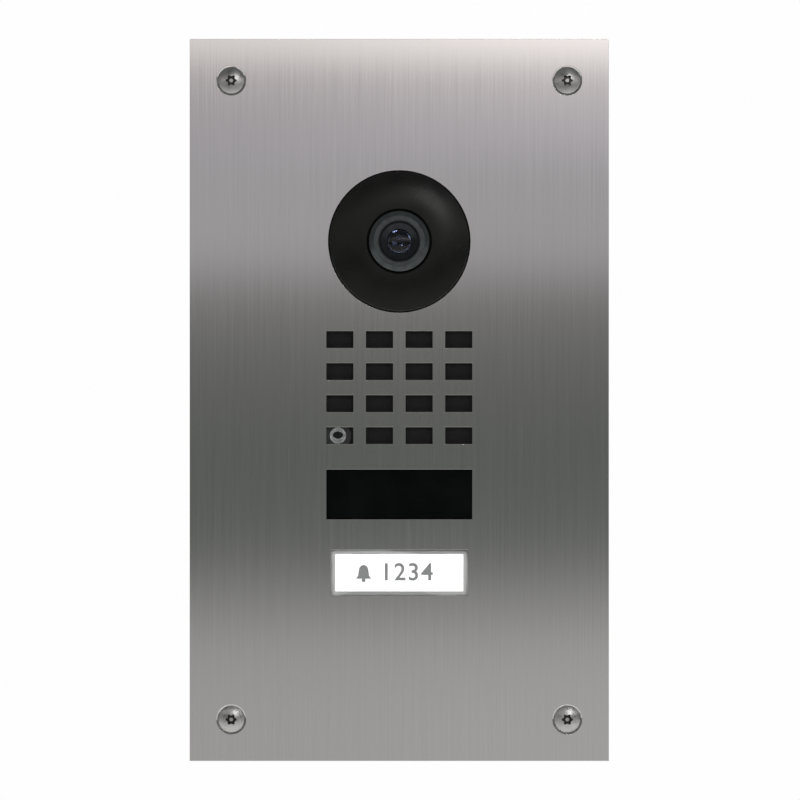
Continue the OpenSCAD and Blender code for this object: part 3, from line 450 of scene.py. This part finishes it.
def soften(name, width, segments=2):
    """Rounds a CAD node's sharp edges for the light to catch, without changing its mesh."""
    weld = NODES[name].modifiers.new("weld", "WELD")
    weld.merge_threshold = 1e-6
    round_edges(NODES[name], width, segments, 40).harden_normals = True


def mesh_from(bm, name, smooth_angle=35):
    """The finished mesh, with its edges sharp where they turn by more than the angle."""
    mesh = bpy.data.meshes.new(name)
    bmesh.ops.remove_doubles(bm, verts=bm.verts, dist=1e-7)
    bmesh.ops.recalc_face_normals(bm, faces=bm.faces)
    limit = math.radians(smooth_angle)
    for edge in bm.edges:
        edge.smooth = len(edge.link_faces) == 2 and edge.calc_face_angle(0) < limit
    for face in bm.faces:
        face.smooth = True
    bm.to_mesh(mesh)
    bm.free()
    return mesh


def bridge(bm, near, far):
    """Faces between two closed loops of as many points."""
    for k, point in enumerate(near):
        m = (k + 1) % len(near)
        bm.faces.new((point, near[m], far[m], far[k]))


def add_slab(bm, outline, y0, y1):
    """A flat closed outline of (x, z) points, filling the depths y0 to y1."""
    front, rear = ([bm.verts.new((x, y, z)) for x, z in outline] for y in (y0, y1))
    bm.faces.new(front)
    bm.faces.new(rear[::-1])
    bridge(bm, front, rear)


def add_box(bm, low, high, slot=0):
    """A box between two corners, in the mesh's material slot."""
    points = [bm.verts.new(corner) for corner in itertools.product(*zip(low, high))]
    for side in ((0, 1, 3, 2), (4, 6, 7, 5), (0, 4, 5, 1), (2, 3, 7, 6), (0, 2, 6, 4), (1, 5, 7, 3)):
        bm.faces.new([points[i] for i in side]).material_index = slot


def add_tube(bm, path, radius, sides=10):
    """A round bar with closed ends that follows a path of points."""
    rings = []
    for i, point in enumerate(path):
        ahead = (path[min(i + 1, len(path) - 1)] - path[max(i - 1, 0)]).normalized()
        side = ahead.cross(Y).normalized()
        up = side.cross(ahead)
        rings.append([bm.verts.new(point + radius * (math.cos(a) * side + math.sin(a) * up))
                      for a in circle(sides)])
    for near, far in zip(rings, rings[1:]):
        bridge(bm, near, far)
    bm.faces.new(rings[0][::-1])
    bm.faces.new(rings[-1])


def add_ring(bm, centre, across, up, out, profile, steps=48):
    """A closed profile turned about a centre.

    The profile is (radius, height) points in millimetres, and out is the height's direction.
    """
    rings = []
    for a in circle(steps):
        spoke = math.cos(a) * across + math.sin(a) * up
        rings.append([bm.verts.new(centre + r * MM * spoke + h * MM * out) for r, h in profile])
    for near, far in zip(rings, rings[1:] + rings[:1]):
        bridge(bm, near, far)


# The nameplate's print
PRINT_T = 0.02 * MM
PRINT_SHARE = 0.50          # the print's height as a share of the card's
BELL_X = -8.6 * MM          # from the card's middle to the bell's axis
NUMBER_X = -4.6 * MM        # and to the number's left edge


def print_mark():
    """A bell sign and a plain number, printed on the nameplate card."""
    low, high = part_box("nameplate_card")
    mid = (low + high) / 2
    front = low.y - PRINT_T
    size = (high.z - low.z) * PRINT_SHARE
    half = size * 0.42      # the bell's half width at its foot
    steps = 14
    dome = [(math.cos(a) * half * 0.62, size * 0.12 + math.sin(a) * half * 0.72)
            for a in (math.pi * i / steps for i in range(steps + 1))]
    skirt = [(-half * 0.72, -size * 0.16), (-half, -size * 0.32),
             (half, -size * 0.32), (half * 0.72, -size * 0.16)]
    clapper = [(math.cos(a) * half * 0.26, -size * 0.40 + math.sin(a) * half * 0.26) for a in circle(16)]
    bm = bmesh.new()
    for outline in (dome + skirt, clapper):
        add_slab(bm, [(mid.x + BELL_X + x, mid.z + z) for x, z in outline], front, low.y)
    piece("nameplate_bell", mesh_from(bm, "nameplate_bell"), INK, "call_button")

    font = bpy.data.curves.new("nameplate_number", "FONT")
    font.body = "1234"
    font.size = size * 1.32
    font.space_character = 1.12
    font.align_x = "LEFT"
    font.align_y = "CENTER"
    font.extrude = PRINT_T / 2
    font.offset = 0.07 * MM     # makes the strokes bolder
    number = bpy.data.objects.new("nameplate_number", font)
    place = Matrix.Translation((mid.x + NUMBER_X, front + PRINT_T / 2, mid.z))
    number.matrix_world = place @ Matrix.Rotation(math.radians(90), 4, "X")
    bpy.context.scene.collection.objects.link(number)
    font.materials.append(INK)
    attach(number, "call_button")


def microphone_felt():
    """Black felt in the microphone's sound port."""
    low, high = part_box("microphone")
    mid = (low + high) / 2
    radius = (high.x - low.x) / 2 * 0.62
    squat, lift = 0.72, 0.12 * MM
    oval = [(mid.x + radius * math.cos(a), mid.z + lift + radius * squat * math.sin(a))
            for a in circle(32)]
    bm = bmesh.new()
    add_slab(bm, oval, low.y + 0.05 * MM, low.y + 0.2 * MM)
    piece("microphone_felt", mesh_from(bm, "microphone_felt"), FINISHES["membrane_cloth"], "root")


# The button's return springs
SPRING_WIRE_R = 0.2 * MM
SPRING_TURNS = 6
SPRING_END = 0.75           # of a turn lies nearly flat at each end
SPRING_END_RISE = 0.16      # share of the length that rises evenly, end turns included


def button_springs():
    """Two ground-ended coil springs."""
    low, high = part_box("button_springs")
    wire = SPRING_WIRE_R
    coil = (high.z - low.z) / 2 - wire
    middle, length = (low.z + high.z) / 2, high.y - low.y
    per_turn = 24
    bm = bmesh.new()
    for x in (low.x + coil + wire, high.x - coil - wire):
        path = []
        for i in range(SPRING_TURNS * per_turn + 1):
            turn = i / per_turn
            active = min(max((turn - SPRING_END) / (SPRING_TURNS - 2 * SPRING_END), 0.0), 1.0)
            rise = active * (1 - SPRING_END_RISE) + SPRING_END_RISE * turn / SPRING_TURNS
            a = math.tau * turn
            path.append(Vector((x + coil * math.cos(a), low.y + wire + (length - 2 * wire) * rise,
                                middle + coil * math.sin(a))))
        add_tube(bm, path, wire)
    made = piece("button_spring_coils", mesh_from(bm, "button_spring_coils"), FINISHES["screw_steel"],
                 "root")
    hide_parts("button_springs")
    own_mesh(made)


# The speaker's surround, in millimetres
ROLL_T = 0.2                # its wall
ROLL_FLANGE = 0.5           # the width of its outer flange
ROLL_LIP = 0.5              # the width of its inner lip, on the front of the cone's edge


def speaker_roll():
    """The speaker's half-roll surround: its inner lip follows the cone, and its outer flange stays put."""
    low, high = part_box("speaker_surround")
    cone_low, cone_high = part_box("speaker_cone")
    centre = (low + high) / 2
    centre.y = high.y - ROLL_T * MM         # the flange's front
    rim = (high.x - low.x) / 2 / MM
    out_r = rim - ROLL_FLANGE
    in_r = (cone_high.x - cone_low.x) / 2 / MM + 0.05
    mid, radius = (in_r + out_r) / 2, (out_r - in_r) / 2

    def arc(radius, start, end, steps=10):
        angles = (math.radians(start + (end - start) * k / steps) for k in range(steps + 1))
        return [(mid + radius * math.cos(a), radius * math.sin(a)) for a in angles]

    lip_front = [(in_r - ROLL_LIP, 0.05), (in_r - 0.07, -0.07)]
    flange = [(out_r + 0.08, -0.04), (rim, 0.0), (rim, ROLL_T), (out_r - ROLL_T, ROLL_T)]
    lip_rear = [(in_r - 0.05, 0.03), (in_r - ROLL_LIP, 0.14)]
    bm = bmesh.new()
    add_ring(bm, centre, X, Z, Y, lip_front + arc(radius, 200, 350) + flange
             + arc(radius - ROLL_T, 360, 190) + lip_rear, 96)
    made = bpy.data.objects.new("speaker_roll", mesh_from(bm, "speaker_roll", 50))
    bpy.context.scene.collection.objects.link(made)
    made.data.materials.append(FINISHES[SLOT_OF["speaker_surround"]])
    inner, outer = in_r * MM, out_r * MM
    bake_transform(made, "speaker_diaphragm", "root", centre + inner * X, centre + outer * X)
    # the blend runs along one line, but the roll gives evenly all round: each point goes by its radius
    for vertex, share in zip(made.data.vertices, made.data.attributes["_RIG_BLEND"].data):
        reach = math.hypot(vertex.co.x - centre.x, vertex.co.z - centre.z)
        t = min(max((reach - inner) / (outer - inner), 0.0), 1.0)
        share.value = t * t * (3 - 2 * t)
    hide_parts("speaker_surround")


# Parts on the circuit boards. All places and sizes here are in millimetres, seen from the front:
# x across and z up from the panel's middle.
CHIP_BLOCKS = {             # x, z, width, height of each CAD block that gets a body of its own
    "camera_board": [(-6, 40.2, 7, 7), (6, 42.2, 5, 4)],
    "reader_board": [(-5, -21.75, 5, 5), (7, -21.75, 5, 5)],
    "ribbon_top": [(0, 26.4, 13, 2.4)],
    "ribbon_foot": [(0, 15.3, 13, 2.4)],
}
LEADED_CHIPS = [            # x, z, width, height, pitch of the leads
    (-10, 5, 14, 14, 0.8), (14.5, 11, 9, 11, 0.65), (-8, -25, 7, 7, 0.5)]
LEAD_BEND = [               # a lead's side view: out from the chip, and up from the board
    (0.0, 0.62), (0.35, 0.62), (0.55, 0.14), (0.95, 0.14),
    (0.95, 0.0), (0.45, 0.0), (0.25, 0.48), (0.0, 0.48)]
LEAD_WIDTH = 0.28
BOARD_T = 1.2               # the camera board and the infrared board
CHIP_T = 0.9
CONNECTOR_T = 1.0
LAMP_RESISTOR_R = 14.2      # the ring of resistors between the infrared lamps and the board's edge
CAPACITORS = [(-24.5, -12), (-24.5, -23)]
CAPACITOR_TOP = [           # radius and height of the crimped rim
    (0.05, 0.0), (3.1, 0.0), (3.35, 0.02), (3.5, 0.12), (3.3, 0.2), (3.0, 0.08), (0.05, 0.08)]
PIN_DOT = [(0.02, -0.01), (0.38, -0.01), (0.42, 0.01), (0.38, 0.02), (0.02, 0.01)]
AERIAL_SIZE = (31.75, 9.84)
AERIAL_STEP = (3.0, 2.4)    # each turn is this much smaller than the last
AERIAL_TRACK = 0.5


def chip_parts(name, spots, y, out, size=(1.6, 0.8, 0.45)):
    """Small resistors and capacitors with tinned ends; spots are (x, z, upright)."""
    length, width, height = size
    # start and end as shares of the length, extra width and height, material slot
    sections = ((-0.3, 0.3, 0.0, 0), (-0.5, -0.28, 0.03, 1), (0.28, 0.5, 0.03, 1))
    bm = bmesh.new()
    for x, z, upright in spots:
        for start, end, grow, slot in sections:
            along, across = (start * length, end * length), (-width / 2 - grow, width / 2 + grow)
            dx, dz = (across, along) if upright else (along, across)
            near, far = sorted((y, y + out * (height + grow) * MM))
            add_box(bm, ((x + dx[0]) * MM, near, (z + dz[0]) * MM),
                    ((x + dx[1]) * MM, far, (z + dz[1]) * MM), slot)
    made = piece(name, mesh_from(bm, name), FINISHES["chip_black"], "root")
    made.data.materials.append(FINISHES["jack_shield"])
    round_edges(made, 0.05 * MM)


def chip_leads(name, chips, y):
    """Bent leads along all four sides of each chip, which stands on a board's face at y."""
    bare_corners = 1.0
    bm = bmesh.new()
    for x, z, w, h, pitch in chips:
        for way, across, side in ((X, w, h), (-X, w, h), (Z, h, w), (-Z, h, w)):
            along = Z if abs(way.x) else X
            count = int((side - bare_corners) / pitch)
            for i in range(count):
                shift = (i - (count - 1) / 2) * pitch
                foot = Vector((x, 0, z)) * MM + y * Y
                near, far = (
                    [bm.verts.new(foot + ((across / 2 + d) * way + (shift + edge) * along + up * Y) * MM)
                     for d, up in LEAD_BEND] for edge in (-LEAD_WIDTH / 2, LEAD_WIDTH / 2))
                bm.faces.new(near)
                bm.faces.new(far[::-1])
                bridge(bm, near, far)
    piece(name, mesh_from(bm, name), FINISHES["jack_shield"], "root")


def board_details():
    """Small surface-mounted parts and leads on the electronics, clear of the larger CAD parts."""
    main_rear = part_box("main_board")[1].y
    camera_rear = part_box("camera_board")[0].y + BOARD_T * MM
    lamps_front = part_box("ir_board")[1].y - BOARD_T * MM
    main = [(x, z, (x + z) % 8 < 4) for x in (-2, 2, 6, 10) for z in range(-34, 2, 4)]
    main += [(x, 15.5, True) for x in (-21, -18, -15, -12)]
    main += [(x, z, False) for x in (-6.5, -3.5) for z in (-52, -47, -42)]
    main += [(x, -33, False) for x in (-28, -25, -22, -19, -16)]
    main += [(30.5, z, True) for z in (0, 3.5)]
    camera_parts = [(x, 34, x % 2 > 0) for x in range(-12, 13, 3)]
    camera_parts += [(x, 48.5, True) for x in range(-9, 10, 3)]
    half_step = math.tau / 24
    ring = [(LAMP_RESISTOR_R * math.cos(a), lens_axis.z / MM + LAMP_RESISTOR_R * math.sin(a),
             abs(math.cos(a)) > 0.7) for a in (turn + half_step for turn in circle(12))]
    chip_parts("main_board_chip_parts", main, main_rear, 1)
    chip_leads("main_board_leads", LEADED_CHIPS, main_rear)
    chip_parts("camera_board_chip_parts", camera_parts, camera_rear, 1, (1.2, 0.6, 0.4))
    chip_parts("ir_board_resistors", ring, lamps_front, -1, (1.0, 0.5, 0.35))


def chip_bodies():
    """Epoxy chip packages and connector shells, each a thin skin over its CAD block.

    The boards' nodes hold these blocks in the board's own material.
    """
    skin = 0.03
    camera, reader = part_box("camera_board"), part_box("reader_board")
    ribbon_top = camera[0].y + (BOARD_T + CONNECTOR_T) * MM
    ribbon_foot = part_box("main_board")[1].y + CONNECTOR_T * MM
    groups = (      # name, blocks, their rear face, thickness, whether pin 1 is marked
        ("camera_board_chips", "camera_board", camera[1].y, CHIP_T, True),
        ("reader_board_chips", "reader_board", reader[1].y, CHIP_T, True),
        ("ribbon_shells", "ribbon_top", ribbon_top, CONNECTOR_T, False),
        ("ribbon_shell_low", "ribbon_foot", ribbon_foot, CONNECTOR_T, False))
    for name, blocks, rear, thickness, marked in groups:
        bm = bmesh.new()
        for x, z, w, h in CHIP_BLOCKS[blocks]:
            half_w, half_h = w / 2 + skin, h / 2 + skin
            add_box(bm, ((x - half_w) * MM, rear - thickness * MM, (z - half_h) * MM),
                    ((x + half_w) * MM, rear + skin * MM, (z + half_h) * MM))
            if marked:
                corner = Vector(((x - w / 2 + 1) * MM, rear + skin * MM, (z + h / 2 - 1) * MM))
                add_ring(bm, corner, X, Z, Y, PIN_DOT, 16)
        made = piece(name, mesh_from(bm, name), FINISHES["chip_black"], "root")
        round_edges(made, 0.08 * MM, 2, 60)


def reader_aerial():
    """The aerial's three flat copper turns, plated gold, on the front of the reader board."""
    low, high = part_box("reader_board")
    mid = (low + high) / 2
    front, rear = low.y - 0.02 * MM, low.y + 0.08 * MM
    bm = bmesh.new()
    for turn in range(3):
        w, h = ((size - turn * step) / 2 for size, step in zip(AERIAL_SIZE, AERIAL_STEP))
        in_w, in_h = w - AERIAL_TRACK, h - AERIAL_TRACK
        for x0, x1, z0, z1 in ((-w, w, in_h, h), (-w, w, -h, -in_h),
                               (-w, -in_w, -in_h, in_h), (in_w, w, -in_h, in_h)):
            add_box(bm, (mid.x + x0 * MM, front, mid.z + z0 * MM), (mid.x + x1 * MM, rear, mid.z + z1 * MM))
    piece("reader_aerial", mesh_from(bm, "reader_aerial"), FINISHES["contact_gold"], "root")


def capacitor_tops():
    """Bare aluminium tops with a cross-shaped vent on the two storage capacitors."""
    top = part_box("main_board_parts")[1].y
    groove, half = 0.12 * MM, 2.2 * MM
    bm = bmesh.new()
    for x, z in CAPACITORS:
        centre = Vector((x * MM, top, z * MM))
        add_ring(bm, centre, X, Z, Y, CAPACITOR_TOP)
        for a in (math.pi / 4, 3 * math.pi / 4):
            way = Vector((math.cos(a), 0, math.sin(a)))
            start = centre + groove / 2 * Y
            add_tube(bm, [start - half * way, start + half * way], groove, 8)
    piece("capacitor_tops", mesh_from(bm, "capacitor_tops"), FINISHES["magnet_steel"], "root")


# Marks moulded on the wall box, in millimetres
RIB_HEIGHT = 1.5            # the keying ribs stand this far out of the side walls
RIDGE = [                   # a knock-out's raised ring: across its line, and out of the wall
    (-0.7, -0.1), (-0.7, 0.25), (-0.45, 0.45), (0.45, 0.45), (0.7, 0.25), (0.7, -0.1)]
KNOCK_OUT_RADII = (8, 10)
KNOCK_OUT_HEIGHTS = (-45, 0, 45)
KNOCK_OUT_DEPTH = 0.51      # share of the box's depth
EJECTOR_MARKS = ((0, -45), (0, 45), (-25, 0), (25, 0))
EJECTOR_R = 3
EJECTOR_RIDGE = (0.6, 0.35)     # its width and height as shares of a knock-out's
BAR_SIZE = (24, 1.4)
BAR_RELIEF = 0.15
BAR_PLACES = ((-22, -28), (22, -28), (-22, 28), (22, 28))


def box_marks():
    """Knock-out rings on the wall box's sides, and ejector-pin marks and bars on its back."""
    low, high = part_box("back_box")
    depth = high.y * KNOCK_OUT_DEPTH
    low_ridge = [(EJECTOR_R + r * EJECTOR_RIDGE[0], h * EJECTOR_RIDGE[1]) for r, h in RIDGE]
    bm = bmesh.new()
    for side, out in ((low.x + RIB_HEIGHT * MM, -X), (high.x - RIB_HEIGHT * MM, X)):
        for z in KNOCK_OUT_HEIGHTS:
            for size in KNOCK_OUT_RADII:
                add_ring(bm, Vector((side, depth, z * MM)), Y, Z, out, [(size + r, h) for r, h in RIDGE])
    for x, z in EJECTOR_MARKS:
        add_ring(bm, Vector((x * MM, high.y, z * MM)), X, Z, Y, low_ridge, 32)
    half_x, half_z = BAR_SIZE[0] / 2, BAR_SIZE[1] / 2
    for x, z in BAR_PLACES:
        add_box(bm, ((x - half_x) * MM, high.y - 0.2 * MM, (z - half_z) * MM),
                ((x + half_x) * MM, high.y + BAR_RELIEF * MM, (z + half_z) * MM))
    piece("box_marks", mesh_from(bm, "box_marks"), FINISHES["box_plastic"], "root")


def jack_lamps():
    """The two small indicator windows in the network socket's face."""
    low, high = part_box("ethernet_jack")
    inset, half_width, z0, z1 = 2.6 * MM, 1.2 * MM, low.z + 1.0 * MM, low.z + 2.4 * MM
    bm = bmesh.new()
    for x, slot in ((low.x + inset, 0), (high.x - inset, 1)):
        add_box(bm, (x - half_width, high.y - 0.4 * MM, z0), (x + half_width, high.y + 0.05 * MM, z1), slot)
    made = piece("jack_lamps", mesh_from(bm, "jack_lamps"), clear("green_window", (0.05, 0.42, 0.08), 0.95),
                 "root")
    made.data.materials.append(clear("amber_window", (0.75, 0.38, 0.03), 0.95))


INK = moulded("printing_ink", (0.006, 0.006, 0.007), 0.55, 5000, 0.002)
print_mark()
microphone_felt()
button_springs()
speaker_roll()
board_details()
chip_bodies()
reader_aerial()
capacitor_tops()
box_marks()
jack_lamps()
soften("front_panel", 0.06 * MM)
soften("sensor_window", 0.15 * MM)
soften("button_cap", 0.18 * MM, 3)


# ---------- Studio ----------

CAMERA_DISTANCE = 1.3       # far enough off for the flat look of a product photograph
PANEL_SHARE = 0.9025        # the panel's height as a share of the frame's
FRAME_SHIFT = 0.0009        # the panel sits this share of the frame to the left of its middle
SENSOR_MM = 36

LIGHTS = (                  # name, place, point it looks at, size, watts, whether the steel mirrors it
    ("key", (-0.9, -2.3, 1.9), (0, 0, 0), (1.3, 1.3), 58, False),
    ("fill", (1.8, -1.8, 0.8), (0, 0, 0), (1.5, 1.2), 28, False),
    ("lens_glint", (0.23, -0.9, 0.34), (0, 0, 0.038), (0.07, 0.07), 1.0, True),
    ("rear", (0.8, 2.2, 1.3), (0, 0, 0), (1.4, 1.0), 50, True),
    ("rear_fill", (-1.9, 1.5, 0.9), (0, 0, 0), (1.3, 1.3), 36, True),
)

CARD_DISTANCE = 0.32
CARD_HALF_WIDTH = 0.42
CARD_EDGE = 0.06            # from here outwards the card is as bright as at its side
CARD_ROWS = (
    # height of the mirrored spot on the panel in mm; light to the left and right; green and blue shares
    (-160, 0.52, 0.60, 0.97, 0.98), (-75, 0.53, 0.60, 0.975, 0.98), (-60, 0.50, 0.56, 0.98, 0.98),
    (-46, 0.30, 0.34, 1.01, 0.99), (-34, 0.165, 0.185, 1.06, 1.0), (-12, 0.155, 0.155, 1.06, 1.0),
    (10, 0.20, 0.20, 1.02, 1.0), (24, 0.27, 0.26, 0.99, 0.99), (35, 0.56, 0.54, 0.975, 1.0),
    (56, 0.53, 0.53, 0.965, 1.02), (66, 0.53, 0.72, 0.955, 1.02), (79, 0.52, 0.78, 0.935, 0.96),
    (86, 1.15, 1.80, 0.94, 0.93), (98, 1.35, 2.10, 0.945, 0.92), (103, 0.50, 0.60, 0.95, 0.92),
    (160, 0.30, 0.35, 0.95, 0.93))

FLOOR_HALF = 1.5
FLOOR_Z = -0.26


def graduated_card():
    """A light card in front of the panel, unseen by the camera, whose bands the steel mirrors."""
    reach = 1 + CARD_DISTANCE / CAMERA_DISTANCE     # where a mirrored ray meets the card
    across = (-CARD_HALF_WIDTH, -CARD_EDGE, CARD_EDGE, CARD_HALF_WIDTH)
    mesh = bpy.data.meshes.new("graduated_card")
    corners = [(x, 0, row[0] * reach * MM) for row in CARD_ROWS for x in across]
    mesh.from_pydata(corners, [], [(k + i, k + i + 1, k + i + 5, k + i + 4)
                                   for k in range(0, len(corners) - 4, 4) for i in range(3)])
    glow = mesh.color_attributes.new("brightness", "FLOAT_COLOR", "POINT")
    shades = ((light, green, blue) for _, left, right, green, blue in CARD_ROWS
              for light in (left, left, right, right))
    for i, (light, green, blue) in enumerate(shades):
        glow.data[i].color = (light, light * green, light * blue, 1)
    card = bpy.data.objects.new("graduated_card", mesh)
    card.location = (0, -CARD_DISTANCE, 0)
    bpy.context.scene.collection.objects.link(card)
    mat = bpy.data.materials.new("graduated_card")
    mat.use_nodes = True
    tree = mat.node_tree
    tree.nodes.clear()
    out = tree.nodes.new("ShaderNodeOutputMaterial")
    lamp = tree.nodes.new("ShaderNodeEmission")
    shade = tree.nodes.new("ShaderNodeVertexColor")
    shade.layer_name = "brightness"
    tree.links.new(shade.outputs["Color"], lamp.inputs["Color"])
    tree.links.new(lamp.outputs[0], out.inputs["Surface"])
    mesh.materials.append(mat)
    card.visible_camera = False
    card.visible_shadow = False
    card.visible_transmission = False


def area_light(name, place, target, size, power, mirrored):
    data = bpy.data.lights.new(name, "AREA")
    data.shape = "RECTANGLE"
    data.size, data.size_y = size
    data.energy = power
    light = bpy.data.objects.new(name, data)
    bpy.context.scene.collection.objects.link(light)
    light.location = place
    light.rotation_mode = "QUATERNION"
    light.rotation_quaternion = (Vector(target) - Vector(place)).to_track_quat("-Z", "Y")
    light.visible_camera = False
    light.visible_glossy = mirrored


def surroundings():
    """Soft light from all round, with a near-white paper backdrop for the camera."""
    world = bpy.data.worlds.new("studio")
    bpy.context.scene.world = world
    world.use_nodes = True
    tree = world.node_tree
    tree.nodes.clear()
    out = tree.nodes.new("ShaderNodeOutputWorld")
    mix = tree.nodes.new("ShaderNodeMixShader")
    seen = tree.nodes.new("ShaderNodeLightPath")
    soft = tree.nodes.new("ShaderNodeBackground")
    paper = tree.nodes.new("ShaderNodeBackground")
    soft.inputs["Color"].default_value = (0.80, 0.81, 0.83, 1)
    soft.inputs["Strength"].default_value = 0.22
    paper.inputs["Color"].default_value = (0.99, 0.99, 0.99, 1)
    tree.links.new(seen.outputs["Is Camera Ray"], mix.inputs[0])
    tree.links.new(soft.outputs[0], mix.inputs[1])
    tree.links.new(paper.outputs[0], mix.inputs[2])
    tree.links.new(mix.outputs[0], out.inputs["Surface"])


def floor():
    half, z = FLOOR_HALF, FLOOR_Z
    mesh = bpy.data.meshes.new("floor")
    corners = [(-half, -half, z), (half, -half, z), (half, half, z), (-half, half, z)]
    mesh.from_pydata(corners, [], [(0, 1, 2, 3)])
    ground = bpy.data.objects.new("floor", mesh)
    bpy.context.scene.collection.objects.link(ground)
    mesh.materials.append(moulded("studio_floor", (0.82, 0.82, 0.81), 0.6, 800, 0.01, 0.01))


def camera():
    """Straight on, so that the panel's height takes its share of the frame."""
    low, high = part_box("front_panel")
    frame_height = (high.z - low.z) / PANEL_SHARE
    data = bpy.data.cameras.new("camera")
    data.sensor_width = SENSOR_MM
    data.lens = SENSOR_MM * (CAMERA_DISTANCE + low.y) / frame_height
    cam = bpy.data.objects.new("camera", data)
    bpy.context.scene.collection.objects.link(cam)
    cam.location = (FRAME_SHIFT * frame_height, -CAMERA_DISTANCE, 0)
    cam.rotation_euler = (math.radians(90), 0, 0)
    bpy.context.scene.camera = cam


bpy.context.scene.view_settings.view_transform = "Standard"
surroundings()
for settings in LIGHTS:
    area_light(*settings)
floor()
graduated_card()
camera()
